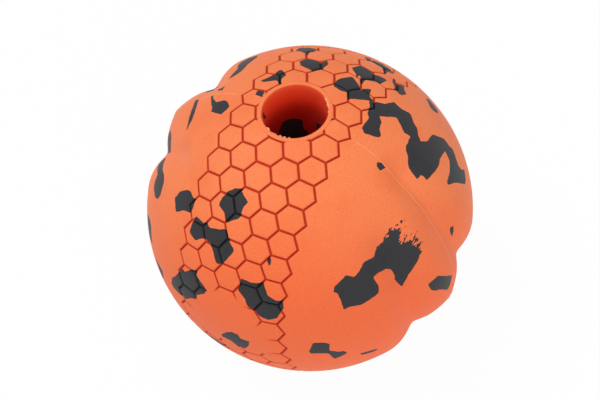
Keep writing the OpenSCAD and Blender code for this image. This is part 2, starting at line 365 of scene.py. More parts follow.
@dataclass
class Valleys:
    """Two valleys across each cheek and the lobe between them, as depths below the ball.

    A place on a cheek is u across it and v along it, in degrees from its pole. A valley's run is the
    u of its straight upper part and the v at which its crease bends, and its ends are values of v.
    """

    depth: float = 3.0
    width: float = 9.6
    crease_round: float = 0.95
    lobe_rise: float = 0.5
    lobe_w: float = 3.0
    first_run: tuple[float, float] = (-1.9, 11.5)
    second_run: tuple[float, float] = (23.3, -9.3)
    bend_slope: float = 0.49
    bend_l: float = 8.0
    left_shift: float = 4.0
    first_ends: tuple[float, float] = (-56.0, 60.0)
    second_ends: tuple[float, float] = (-58.0, 44.0)
    lobe_ends: tuple[float, float] = (-56.0, 46.0)
    end_fade: float = 16.0
    start_lat: float = 22.5

    def run_u(self, v: np.ndarray, run: tuple[float, float]) -> np.ndarray:
        """Place across the cheek of a valley's crease."""
        return run[0] - self.bend_slope * self.bend_l * np.logaddexp(0.0, (run[1] - v) / self.bend_l)

    def off_run(self, u: np.ndarray, v: np.ndarray, run: tuple[float, float]) -> np.ndarray:
        """Distance from a valley's crease, in degrees."""
        slope = self.bend_slope / (1.0 + np.exp((v - run[1]) / self.bend_l))
        return (u - self.run_u(v, run)) / np.sqrt(1.0 + slope**2)

    def fade(self, v: np.ndarray, ends: tuple[float, float]) -> np.ndarray:
        """1 along a valley and 0 beyond its ends."""
        return ease((v - ends[0]) / self.end_fade) * ease((ends[1] - v) / self.end_fade)

    def flank(self, off: np.ndarray) -> np.ndarray:
        """Share of the full depth at a distance from the crease."""
        x = np.hypot(off * BALL_R * math.pi / 180, self.crease_round) / self.width
        return np.clip(1.0 - x, 0.0, None) ** 2

    def lobe(self, u: np.ndarray, v: np.ndarray) -> np.ndarray:
        """Share of the lobe's full rise, which is highest halfway between the two creases."""
        middle = (self.run_u(v, self.first_run) + self.run_u(v, self.second_run)) / 2
        return np.exp(-(((u - middle) * BALL_R * math.pi / 180 / self.lobe_w) ** 2))

    def drop(self, way: np.ndarray) -> np.ndarray:
        """Depth of the skin below the ball.

        Args:
            way: Unit vectors from the middle of the ball.

        Returns:
            Depths in millimetres, below zero on the lobe.
        """
        c = np.where(way[:, 0] >= 0, 1.0, -1.0)
        rho = np.degrees(np.arccos(np.clip(np.abs(way[:, 0]), 0.0, 1.0)))
        s = np.hypot(way[:, 1], way[:, 2]) + TINY
        u = -c * way[:, 1] / s * rho - np.where(c < 0, self.left_shift, 0.0)
        v = c * way[:, 2] / s * rho
        first = self.flank(self.off_run(u, v, self.first_run)) * self.fade(v, self.first_ends)
        second = self.flank(self.off_run(u, v, self.second_run)) * self.fade(v, self.second_ends)
        lobe = self.lobe(u, v) * self.fade(v, self.lobe_ends)
        total = self.depth * first + self.depth * second - self.lobe_rise * lobe
        return np.where(90.0 - rho < self.start_lat, 0.0, total)


@dataclass
class Skin:
    """The outer surface of the ball, as a distance from its middle."""

    honeycomb: Honeycomb = field(default_factory=Honeycomb)
    valleys: Valleys = field(default_factory=Valleys)
    sway: float = 0.03
    sway_size: float = 7.0
    grain: Grain = field(default_factory=lambda: Grain(5))

    def radius(self, points: np.ndarray) -> np.ndarray:
        """Distance of the skin from the ball's middle.

        Args:
            points: Rows of a unit vector, the gap to the nearest groove and how far it is cut.

        Returns:
            Distances in millimetres.
        """
        way = points[:, :3]
        moulded = self.honeycomb.drop(points[:, 3], points[:, 4]) + self.valleys.drop(way)
        return BALL_R - moulded + self.sway * (self.grain.at(way * BALL_R, self.sway_size) - 1) / 2


@dataclass
class Sheet:
    """Triangles on the ball. A point is a unit vector, its groove gap and how far that groove is cut.

    Faces farther from an outline than search_reach are left out of a search, a cut stays end_share of
    an edge away from its ends, and points are welded that agree to one part in weld_parts.
    """

    points: np.ndarray
    faces: np.ndarray
    labels: np.ndarray
    search_reach: float = 6.0
    end_share: float = 0.06
    weld_parts: float = 1e7

    @classmethod
    def welded(cls, points: np.ndarray, faces: np.ndarray) -> Sheet:
        """Makes a sheet in which points at the same place are one.

        Args:
            points: Its points, some of them repeated.
            faces: Its triangles, of which those that this closes up are left out.

        Returns:
            The sheet, every face with the shell's label.
        """
        keys = np.round(points[:, :3] * cls.weld_parts).astype(np.int64)
        _, first, back = np.unique(keys, axis=0, return_index=True, return_inverse=True)
        faces = back.reshape(-1)[faces]
        a, b, c = faces.T
        faces = faces[(a != b) & (b != c) & (c != a)]
        return cls(points[first], faces, np.full(len(faces), SHELL_LABEL))

    def halfway(self, low: np.ndarray, high: np.ndarray, share: np.ndarray) -> int:
        """Adds points between pairs of points.

        Args:
            low: First point of each pair.
            high: Second point of each pair.
            share: Where the new point lies between them, 0 to 1.

        Returns:
            The number of the first new point.
        """
        fresh = self.points[low] * (1 - share[:, None]) + self.points[high] * share[:, None]
        fresh[:, :3] = unit(fresh[:, :3])
        count = len(self.points)
        self.points = np.vstack([self.points, fresh])
        return count

    def edges(self, faces: np.ndarray) -> tuple[np.ndarray, np.ndarray]:
        """The edges of some faces, each once.

        Args:
            faces: The triangles.

        Returns:
            The two points of each edge, and the numbers of each face's three edges.
        """
        pairs = np.sort(faces[:, [[0, 1], [1, 2], [2, 0]]].reshape(-1, 2), axis=1)
        keys, back = np.unique(pairs, axis=0, return_inverse=True)
        return keys, back.reshape(-1, 3)

    def refine(self, gap: Gap, reach: float, longest: float) -> None:
        """Splits the long edges near an outline in two.

        Args:
            gap: Gives each point's distance from the outline in millimetres, below zero inside.
            reach: Edges with an end this near the outline are split, as are those that cross it.
            longest: Shorter edges stay whole.
        """
        values = gap(self.points[:, :3])
        near = np.flatnonzero((np.abs(values[self.faces]) < self.search_reach).any(1))
        if not len(near):
            return
        keys, back = self.edges(self.faces[near])
        low, high = keys.T
        wanted = (values[low] < 0) != (values[high] < 0)
        wanted |= np.minimum(np.abs(values[low]), np.abs(values[high])) < reach
        length = np.linalg.norm(self.points[low, :3] - self.points[high, :3], axis=1) * BALL_R
        chosen = np.flatnonzero(wanted & (length > longest))
        if not len(chosen):
            return
        number = np.full(len(keys), -1)
        base = self.halfway(low[chosen], high[chosen], np.full(len(chosen), 0.5))
        number[chosen] = base + np.arange(len(chosen))
        self.split(near, number[back])

    def split(self, near: np.ndarray, middle: np.ndarray) -> None:
        """Splits faces at the middles of their edges.

        Args:
            near: Numbers of the faces.
            middle: The point in the middle of each of their three edges, or -1 for none.
        """
        count = (middle >= 0).sum(1)
        keep = np.ones(len(self.faces), bool)
        keep[near[count > 0]] = False
        parts, labels = [self.faces[keep]], [self.labels[keep]]
        for cuts, templates in SPLITS.items():
            rows = np.flatnonzero(count == cuts)
            cut = middle[rows] >= 0
            turn = ((~cut).argmax(1) + 1) % 3 if cuts == 2 else cut.argmax(1)
            order = (turn[:, None] + np.arange(3)) % 3
            whole = np.take_along_axis(self.faces[near[rows]], order, 1)
            six = np.hstack([whole, np.take_along_axis(middle[rows], order, 1)])
            for template in templates:
                parts.append(six[:, template])
                labels.append(self.labels[near[rows]])
        self.faces, self.labels = np.vstack(parts), np.concatenate(labels)

    def cut(self, values: np.ndarray, label: int) -> None:
        """Cuts the faces along an outline and labels those inside it, where they are still the shell's.

        Args:
            values: Distance of each point from the outline, below zero inside.
            label: What the faces inside are labelled.
        """
        flags = (values < 0)[self.faces]
        count = flags.sum(1)
        self.labels[(count == 3) & (self.labels == SHELL_LABEL)] = label
        mixed = np.flatnonzero((count == 1) | (count == 2))
        if not len(mixed):
            return
        faces, flags = self.faces[mixed], flags[mixed]
        lone_inside = flags.sum(1) == 1
        lone = np.where(lone_inside, flags.argmax(1), (~flags).argmax(1))
        a, b, c = (np.take_along_axis(faces, ((lone + k) % 3)[:, None], 1)[:, 0] for k in range(3))
        pairs = np.sort(np.concatenate([np.stack([a, b], 1), np.stack([a, c], 1)]), axis=1)
        keys, back = np.unique(pairs, axis=0, return_inverse=True)
        low, high = values[keys[:, 0]], values[keys[:, 1]]
        share = np.clip(low / (low - high), self.end_share, 1 - self.end_share)
        base = self.halfway(keys[:, 0], keys[:, 1], share)
        ab, ac = np.split(base + back.reshape(-1), 2)
        keep = np.ones(len(self.faces), bool)
        keep[mixed] = False
        tips, rests = np.stack([a, ab, ac], 1), [np.stack([ab, b, c], 1), np.stack([ab, c, ac], 1)]
        old = self.labels[mixed]
        fresh = np.where(old == SHELL_LABEL, label, old)
        tip, rest = np.where(lone_inside, fresh, old), np.where(lone_inside, old, fresh)
        self.faces = np.vstack([self.faces[keep], tips, *rests])
        self.labels = np.concatenate([self.labels[keep], tip, rest, rest])

    def drop_label(self, label: int) -> None:
        """Takes out the faces with a label."""
        keep = self.labels != label
        self.faces, self.labels = self.faces[keep], self.labels[keep]

    def rim(self, faces: np.ndarray) -> np.ndarray:
        """The open edges of some faces.

        Args:
            faces: The triangles.

        Returns:
            The two points of each edge that only one of them has, in that face's order.
        """
        pairs = faces[:, [[0, 1], [1, 2], [2, 0]]].reshape(-1, 2)
        ordered = np.sort(pairs, axis=1)
        _, back, uses = np.unique(ordered, axis=0, return_inverse=True, return_counts=True)
        return pairs[uses[back.reshape(-1)] == 1]


@dataclass
class Patch:
    """A growing sheet of rows of points, each row joined to the one before it.

    The next point has the number count, and the first point of the last row has the number last.
    """

    count: int
    last: int = 0
    points: list[np.ndarray] = field(default_factory=list)
    faces: list[np.ndarray] = field(default_factory=list)

    def add_rows(self, rows: list[np.ndarray]) -> None:
        """Adds rows as wide as the last one.

        Args:
            rows: The points of each row.
        """
        width = len(rows[0])
        if self.points:
            a, d = self.last + np.arange(width - 1), self.count + np.arange(width - 1)
            self.faces.append(split_quads(a, a + 1, d + 1, d))
        self.faces.append(grid_faces(len(rows), width, False, self.count))
        self.points.append(np.vstack(rows))
        self.last = self.count + (len(rows) - 1) * width
        self.count += len(rows) * width

    def add_half_row(self, row: np.ndarray) -> None:
        """Adds a row in which every second point of the last one goes on.

        Args:
            row: The points of the row.
        """
        step = np.arange(len(row) - 1)
        fine, coarse = self.last + 2 * step, self.count + step
        self.faces += [
            np.stack([fine, fine + 1, coarse], 1),
            np.stack([fine + 1, coarse + 1, coarse], 1),
            np.stack([fine + 1, fine + 2, coarse + 1], 1),
        ]
        self.points.append(row)
        self.last, self.count = self.count, self.count + len(row)

    def add_tip(self, tip: np.ndarray) -> None:
        """Adds one point that the last row closes on.

        Args:
            tip: The point, as a row.
        """
        self.points.append(tip)
        self.faces.append(fan_faces(self.last, self.count - self.last, False, self.count))
        self.count += 1


@dataclass
class HalfSkin:
    """The skin of one half of the ball as a sheet of triangles, laid out cell by cell.

    Each cheek goes on in circles round its pole, and at every angle of halving_rhos from the pole its
    circles have half as many points from there on.
    """

    half: Half
    skin: Skin
    ring_step: float = 1.1
    near_band_rings: tuple[float, ...] = (0.3, 0.65, 1.0)
    circle_lat: float = 23.4
    halving_rhos: tuple[float, ...] = (50.0, 25.0, 12.0)

    def corner_row(self, line: int, j: int) -> np.ndarray:
        """Lon and lat of a corner of the honeycomb, and how far its grooves are cut."""
        comb = self.skin.honeycomb
        return np.array([comb.column_lon(j), comb.line_lat(line, j), comb.groove_on(line, j, self.half)])

    def side_row(self, p: Corner, q: Corner) -> np.ndarray:
        """Points along a groove, without its far end.

        Args:
            p: Line and column of the corner where it starts.
            q: Line and column of the corner where it ends.

        Returns:
            Rows of lon, lat and how far the groove is cut.
        """
        count = self.skin.honeycomb.side_points
        share = np.arange(count)[:, None] / count
        return self.corner_row(*p) * (1 - share) + self.corner_row(*q) * share

    def groove_rows(self, corners: list[Corner], closed: bool) -> np.ndarray:
        """Points along the grooves from corner to corner.

        Args:
            corners: Line and column of each corner.
            closed: Whether the last groove leads back to the first corner.

        Returns:
            Rows of lon, lat and how far the groove is cut.
        """
        ends = corners[1:] + corners[:1] if closed else corners[1:]
        sides = [self.side_row(p, q) for p, q in zip(corners, ends)]
        return np.vstack(sides if closed else [*sides, self.corner_row(*corners[-1])])

    def cell_corners(self, row: int, mid: int) -> list[Corner]:
        """The corners of one cell, or of half a cell from one side of the parting line to the other.

        Args:
            row: Row of the cell.
            mid: Column of its middle.

        Returns:
            Line and column of each corner.
        """
        if mid in (0, self.skin.honeycomb.columns):
            inner = 1 if mid == 0 else mid - 1
            return [(row + 1, mid), (row + 1, inner), (row, inner), (row, mid)]
        there = [(row, j) for j in (mid - 1, mid, mid + 1)]
        back = [(row + 1, j) for j in (mid + 1, mid, mid - 1)]
        return there + back

    def cell(self, row: int, mid: int, base: int) -> tuple[np.ndarray, np.ndarray]:
        """One cell, or half a cell at the parting line.

        Args:
            row: Row of the cell.
            mid: Column of its middle.
            base: Number of its first point.

        Returns:
            Its points and its triangles.
        """
        comb = self.skin.honeycomb
        closed = 0 < mid < comb.columns
        edge = self.groove_rows(self.cell_corners(row, mid), closed)
        centre = np.array([comb.column_lon(mid), comb.row_lat(row)])
        rows = []
        for share in [1 - gap / comb.apothem for gap in comb.groove_gaps] + list(comb.ring_shares):
            at = centre + (edge[:, :2] - centre) * share
            rows.append(self.points(at, (1 - share) * comb.apothem, edge[:, 2]))
        width = len(edge)
        inner, tip = base + (len(rows) - 1) * width, base + len(rows) * width
        rings = grid_faces(len(rows), width, closed, base)
        rows.append(self.points(centre[None], comb.apothem, np.ones(1)))
        return np.vstack(rows), np.vstack([rings, fan_faces(inner, width, closed, tip)])

    def points(self, at: np.ndarray, gap: float, on: np.ndarray) -> np.ndarray:
        """Sheet points from rows of lon and lat, one gap and how far each groove is cut."""
        way = place(at[:, 0], at[:, 1], self.half)
        return np.column_stack([way, np.full(len(at), gap), on])

    def ring(self, lons: np.ndarray, lat: float) -> np.ndarray:
        """Sheet points on one circle round a cheek's pole."""
        at = np.column_stack([lons, np.full(len(lons), lat)])
        return self.points(at, self.skin.honeycomb.clear_gap, np.zeros(len(lons)))

    def rings(self, lons: np.ndarray, c: int, start: float, stop: float) -> list[np.ndarray]:
        """Circles round a cheek's pole, evenly apart.

        Args:
            lons: Lon of each point of a circle.
            c: 1 for the right cheek and -1 for the left one.
            start: Angle from the pole at which the circle before the first one lies, in degrees.
            stop: Angle of the last circle.

        Returns:
            Sheet points of each circle.
        """
        steps = max(1, round((start - stop) / self.ring_step))
        rhos = start + (stop - start) * np.arange(1, steps + 1) / steps
        return [self.ring(lons, c * (90 - rho)) for rho in rhos]

    def cheek_rim(self, edge: np.ndarray, c: int) -> list[np.ndarray]:
        """Rows of points from the band's last grooves to the first circle of a cheek.

        Args:
            edge: Lon and lat along the last grooves, and how far they are cut.
            c: 1 for the right cheek and -1 for the left one.

        Returns:
            Sheet points of each row.
        """
        comb = self.skin.honeycomb
        rows, lat = [], edge[:, 1]
        for gap in comb.groove_gaps:
            lat = edge[:, 1] + c * gap / comb.edge_slant / comb.degree_l
            rows.append(self.points(np.column_stack([edge[:, 0], lat]), gap, edge[:, 2]))
        for share in self.near_band_rings:
            at = np.column_stack([edge[:, 0], lat * (1 - share) + c * self.circle_lat * share])
            rows.append(self.points(at, comb.clear_gap, edge[:, 2]))
        return rows

    def cheek(self, c: int, base: int) -> tuple[np.ndarray, np.ndarray]:
        """A cheek, from the band's last grooves to its pole.

        Args:
            c: 1 for the right cheek and -1 for the left one.
            base: Number of its first point.

        Returns:
            Its points and its triangles.
        """
        comb = self.skin.honeycomb
        line = comb.rows if c > 0 else 0
        edge = self.groove_rows([(line, j) for j in range(comb.columns + 1)], False)
        patch = Patch(base)
        patch.add_rows(self.cheek_rim(edge, c))
        lons, rho = edge[:, 0], 90 - self.circle_lat
        for stop in self.halving_rhos:
            patch.add_rows(self.rings(lons, c, rho, stop))
            lons = lons[::2]
            patch.add_half_row(self.ring(lons, c * (90 - stop + self.ring_step)))
            rho = stop - self.ring_step
        patch.add_rows(self.rings(lons, c, rho, 0.0)[:-1])
        patch.add_tip(self.ring(np.zeros(1), c * 90.0))
        return np.vstack(patch.points), np.vstack(patch.faces)

    def sheet(self) -> Sheet:
        """Lays out the whole half.

        Returns:
            The half as one sheet, each face's corners in the order seen from outside.
        """
        comb = self.skin.honeycomb
        points, faces, base = [], [], 0
        cells = [(row, mid) for row in range(comb.rows) for mid in range(comb.columns + 1)]
        for row, mid in cells:
            if comb.has_cell(row, mid):
                p, f = self.cell(row, mid, base)
                points.append(p)
                faces.append(f)
                base += len(p)
        for c in (1, -1):
            p, f = self.cheek(c, base)
            points.append(p)
            faces.append(f)
            base += len(p)
        made = Sheet.welded(np.vstack(points), np.vstack(faces))
        a, b, c = (made.points[made.faces[:, k], :3] for k in range(3))
        inward = np.einsum("ij,ij->i", np.cross(b - a, c - a), a + b + c) < 0
        made.faces[inward] = made.faces[inward][:, ::-1]
        return made


@dataclass
class ChipOutline:
    """The outline of a black chip on the ball.

    The outline is roughened by bumps of ragged_sizes. Near fray_place it breaks up into flecks, drawn
    out along fray_way, outside it and into holes inside it. Points farther from the chip than
    search_margin are given far_gap.
    """

    places: Outline
    edge: Edge = Edge.CLEAN
    grain: Grain = field(default_factory=lambda: Grain(11))
    round_share: float = 0.08
    ragged_sizes: tuple[float, float] = (0.9, 0.45)
    search_margin: float = 5.0
    far_gap: float = 50.0
    least_facing: float = 0.2
    steep_facing: float = 0.8
    fray_place: tuple[float, float] = (25.5, 56.0)
    fray_reach: float = 7.4
    fray_fade: float = 2.8
    fray_way: tuple[float, float, float] = (0.12, 0.88, 0.46)
    fray_stretch: float = 2.4
    fleck_size: float = 0.28
    wide_fleck_scale: float = 2.2
    fleck_mix: tuple[float, float] = (0.7, 0.45)
    fleck_share: float = -0.12
    fleck_fade: float = 0.22
    hole_share: float = 0.45
    hole_fade: float = 0.5

    def __post_init__(self) -> None:
        """Lays the outline flat round its middle, its corners cut once."""
        lon, lat = np.array(self.places).T
        ways = place(lon, lat, Half.FRONT)
        self.middle = unit(ways.mean(0))
        steep = abs(self.middle[0]) >= self.steep_facing
        self.axis_a = unit(np.cross(self.middle, [0.0, 1.0, 0.0] if steep else [1.0, 0.0, 0.0]))
        self.axis_b = np.cross(self.middle, self.axis_a)
        flat = self.flat(ways)
        after, share = np.roll(flat, -1, axis=0), self.round_share
        rounded = [flat * (1 - share) + after * share, flat * share + after * (1 - share)]
        self.corners = np.stack(rounded, 1).reshape(-1, 2)
        self.reach = np.linalg.norm(flat, axis=1).max()

    @property
    def half(self) -> Half:
        """The half of the ball that holds the chip."""
        return Half.FRONT if self.middle[1] < 0 else Half.REAR

    def flat(self, ways: np.ndarray) -> np.ndarray:
        """Places on the flat sheet through the chip's middle, in millimetres."""
        scale = BALL_R / np.maximum(ways @ self.middle, self.least_facing)
        return np.stack([ways @ self.axis_a * scale, ways @ self.axis_b * scale], -1)

    def smooth_gap(self, spots: np.ndarray) -> np.ndarray:
        """Distance of flat places from the outline before its edge is roughened.

        Args:
            spots: The places on the chip's flat sheet.

        Returns:
            Distances in millimetres, below zero inside.
        """
        best, inside = np.full(len(spots), np.inf), np.zeros(len(spots), bool)
        for start, end in zip(self.corners, np.roll(self.corners, -1, axis=0)):
            run, off = end - start, spots - start
            along = np.clip(off @ run / (run @ run + TINY), 0.0, 1.0)
            best = np.minimum(best, np.linalg.norm(off - along[:, None] * run, axis=1))
            crosses = (start[1] > spots[:, 1]) != (end[1] > spots[:, 1])
            with np.errstate(divide="ignore", invalid="ignore"):
                at = start[0] + off[:, 1] / run[1] * run[0]
            inside ^= crosses & (spots[:, 0] < at)
        return np.where(inside, -best, best)

    def gap(self, ways: np.ndarray) -> np.ndarray:
        """Distance of each way from the ragged outline.

        Args:
            ways: Unit vectors from the middle of the ball.

        Returns:
            Distances in millimetres, below zero inside.
        """
        out = np.full(len(ways), self.far_gap)
        near = np.flatnonzero(ways @ self.middle > math.cos((self.reach + self.search_margin) / BALL_R))
        if not len(near):
            return out
        spots = ways[near] * BALL_R
        ragged = sum(self.grain.at(spots, size) for size in self.ragged_sizes)
        signed = self.smooth_gap(self.flat(ways[near])) + Edge.CLEAN.value * ragged
        if self.edge is Edge.FRAYED:
            signed = self.frayed(signed, spots, self.fraying(ways[near]))
        out[near] = signed
        return out

    def fraying(self, ways: np.ndarray) -> np.ndarray:
        """How much the outline frays.

        Args:
            ways: Unit vectors from the middle of the ball.

        Returns:
            A share from 0 to 1 at each.
        """
        if self.edge is Edge.CLEAN:
            return np.zeros(len(ways))
        lon, lat = self.fray_place
        middle = place([lon], [lat], Half.FRONT)[0]
        off = np.arccos(np.clip(ways @ middle, -1, 1)) * BALL_R
        return ease((self.fray_reach - off) / self.fray_fade)

    def fray_gap(self, ways: np.ndarray) -> np.ndarray:
        """Share that the fraying lacks to a half, below zero where it is more than half."""
        return 0.5 - self.fraying(ways)

    def frayed(self, signed: np.ndarray, spots: np.ndarray, share: np.ndarray) -> np.ndarray:
        """Breaks the outline up into flecks outside it and pinholes inside it.

        Args:
            signed: Distance of each point from the outline in millimetres, below zero inside.
            spots: The points in millimetres.
            share: How much the outline frays at each.

        Returns:
            The new distances.
        """
        along = spots @ np.array(self.fray_way)
        drawn = spots - (1 - 1 / self.fray_stretch) * along[:, None] * self.fray_way
        fine = self.grain.at(drawn, self.fleck_size)
        wide = self.grain.at(drawn, self.wide_fleck_scale * self.fleck_size)
        ragged = signed + share * Edge.FRAYED.value * (fine + wide)
        noise = self.fleck_mix[0] * fine + self.fleck_mix[1] * wide
        away = np.abs(signed)
        fleck = (self.fleck_share + self.fleck_fade * away + 1 - share - noise) * self.fleck_size
        hole = (noise - self.hole_share - self.hole_fade * away - 1 + share) * self.fleck_size
        return np.where(ragged > 0, np.minimum(ragged, fleck), np.maximum(ragged, hole))


@dataclass
class Hollow:
    """The lip, throat, chamber and vent hole, as one profile turned about Z."""

    hole_r: float = 7.85
    lip_w: float = 1.1
    lip_rise: float = 0.1
    lip_foot_rise: float = 0.03
    lip_foot_deg: float = 0.05
    lip_shoulder_deg: float = 0.35
    mouth_round: float = 0.35
    mouth_turns: tuple[float, ...] = (120.0, 150.0, 180.0)
    throat_l: float = 8.0
    throat_shares: tuple[float, ...] = (0.25, 0.5, 0.75, 1.0)
    throat_round: float = 9.0
    throat_flare_deg: int = 56
    flare_step_deg: int = 8
    chamber_r: float = 28.0
    chamber_start_deg: float = 3.0
    chamber_rows: int = 26
    vent_r: float = 2.5
    vent_round: float = 0.4
    vent_shares: tuple[float, ...] = (0.35, 0.7, 1.0)
    vent_turns: tuple[float, ...] = (210.0, 240.0)
    collar_l: float = 13.2
    collar_w: float = 2.8
    collar_step_deg: int = 20
    collar_rows: tuple[int, int] = (13, 7)
    # Painted shade inside the hole: its share just inside the mouth, the reach over which that share
    # comes in, and the depth at which the shade is full
    mouth_shade_share: float = 0.72
    mouth_reach: float = 0.5
    shade_reach: float = 12.0
    turns: int = 80

    @property
    def lip_angle(self) -> float:
        """Angle of the lip's outer edge from the hole's axis, in degrees."""
        return math.degrees(math.asin((self.hole_r + self.lip_w) / BALL_R))

    @property
    def vent_angle(self) -> float:
        """Angle of the vent hole's rounded edge from its axis, in degrees."""
        return math.degrees(math.asin((self.vent_r + self.vent_round) / BALL_R))

    @property
    def mouth_z(self) -> float:
        """Height of the mouth's rounded edge."""
        return math.sqrt((BALL_R + self.lip_rise) ** 2 - (self.hole_r + self.mouth_round) ** 2)

    @property
    def throat_z(self) -> float:
        """Height of the end of the throat's straight wall."""
        return BALL_R * math.cos(math.radians(self.lip_angle)) - self.throat_l

    def mouth(self) -> Outline:
        """The lip and the mouth's rounded edge.

        Returns:
            Radius and height of each point, from the lip's foot inwards.
        """
        centre, lip_r = (0.0, 0.0), BALL_R + self.lip_rise
        rows = arc(centre, BALL_R + self.lip_foot_rise, (90 - self.lip_angle + self.lip_foot_deg,))
        rows += arc(centre, lip_r, (90 - self.lip_angle + self.lip_shoulder_deg,))
        shoulder, edge_r = rows[-1][0], self.hole_r + self.mouth_round
        for rho in ((shoulder + edge_r) / 2, edge_r):
            rows.append((rho, math.sqrt(lip_r**2 - rho**2)))
        return rows + arc((edge_r, rows[-1][1] - self.mouth_round), self.mouth_round, self.mouth_turns)

    def throat(self, top: float) -> Outline:
        """The throat's straight wall and its flare.

        Args:
            top: Height at which the straight wall starts.

        Returns:
            Radius and height of each point, from the top down.
        """
        wall = [(self.hole_r, top + (self.throat_z - top) * share) for share in self.throat_shares]
        step = self.flare_step_deg
        angles = range(180 + step, 180 + self.throat_flare_deg + 1, step)
        return wall + arc((self.hole_r + self.throat_round, self.throat_z), self.throat_round, angles)

    def vent(self, top: float) -> Outline:
        """The vent hole's wall and its rounded edge.

        Args:
            top: Height at which its wall starts.

        Returns:
            Radius and height of each point, from the top down.
        """
        low = -math.sqrt(BALL_R**2 - (self.vent_r + self.vent_round) ** 2) + self.vent_round
        wall = [(self.vent_r, top * (1 - share) + low * share) for share in self.vent_shares]
        return wall + arc((self.vent_r + self.vent_round, low), self.vent_round, self.vent_turns)

    def profile(self) -> np.ndarray:
        """The inner surface, from the lip's edge down to the vent hole's.

        Returns:
            Radius and height of each point.
        """
        rows = self.mouth()
        rows += self.throat(rows[-1][1])
        start = math.degrees(math.atan2(rows[-1][1], rows[-1][0])) - self.chamber_start_deg
        end = -math.degrees(math.acos(self.vent_r / self.chamber_r))
        rows += arc((0.0, 0.0), self.chamber_r, np.linspace(start, end, self.chamber_rows))
        rows += self.vent(rows[-1][1])
        return np.array(rows)

    def hollow_shade_share(self, rows: np.ndarray) -> np.ndarray:
        """How much painted shade the inner surface's colour takes, growing with depth below the mouth.

        Args:
            rows: Radius and height of each point.

        Returns:
            A share from 0 at the mouth to 1 inside.
        """
        below = self.mouth_z - rows[:, 1]
        start, rest = ease(below / self.mouth_reach), ease(below / self.shade_reach)
        return self.mouth_shade_share * start + (1 - self.mouth_shade_share) * rest

    def collar(self) -> np.ndarray:
        """The closed outline of the collar that carries the throat's wall on inwards.

        Returns:
            Radius and height of each point.
        """
        half_w = self.collar_w / 2
        low = self.throat_z - self.collar_l + half_w
        inner, outer = self.collar_rows
        rows = [(self.hole_r, z) for z in np.linspace(self.throat_z, low, inner)]
        step = self.collar_step_deg
        rows += arc((self.hole_r + half_w, low), half_w, range(180 + step, 360, step))
        rows += [(self.hole_r + self.collar_w, z) for z in np.linspace(low, self.throat_z, outer)]
        return np.array(rows)


@dataclass
class RoundHole:
    """The edge of a round hole about the ball's Z axis, at an angle from it in radians.

    Rim points a little farther out than the edge still belong to the hole: on the parting plane
    within plane_slack, and elsewhere within rim_share of the angle and rim_slack.
    """

    sign: int
    angle: float
    plane_slack: float = 0.01
    rim_share: float = 1.6
    rim_slack: float = 0.02

    def gap(self, ways: np.ndarray) -> np.ndarray:
        """Distance of each way from the hole's edge in millimetres, below zero inside."""
        return (np.arccos(np.clip(self.sign * ways[:, 2], -1, 1)) - self.angle) * BALL_R

    def settle(self, sheet: Sheet) -> None:
        """Moves the points that the hole's cut left on a sheet onto the hole's circle.

        Args:
            sheet: The sheet.
        """
        for k in np.unique(sheet.rim(sheet.faces)):
            way = sheet.points[k, :3]
            off = math.acos(max(-1.0, min(1.0, self.sign * way[2])))
            on_plane = abs(way[1]) < ON_PLANE and off > self.angle + self.plane_slack
            if on_plane or off > self.angle * self.rim_share + self.rim_slack:
                continue
            sheet.points[k, :2] *= math.sin(self.angle) / math.hypot(way[0], way[1])
            sheet.points[k, 2] = self.sign * math.cos(self.angle)


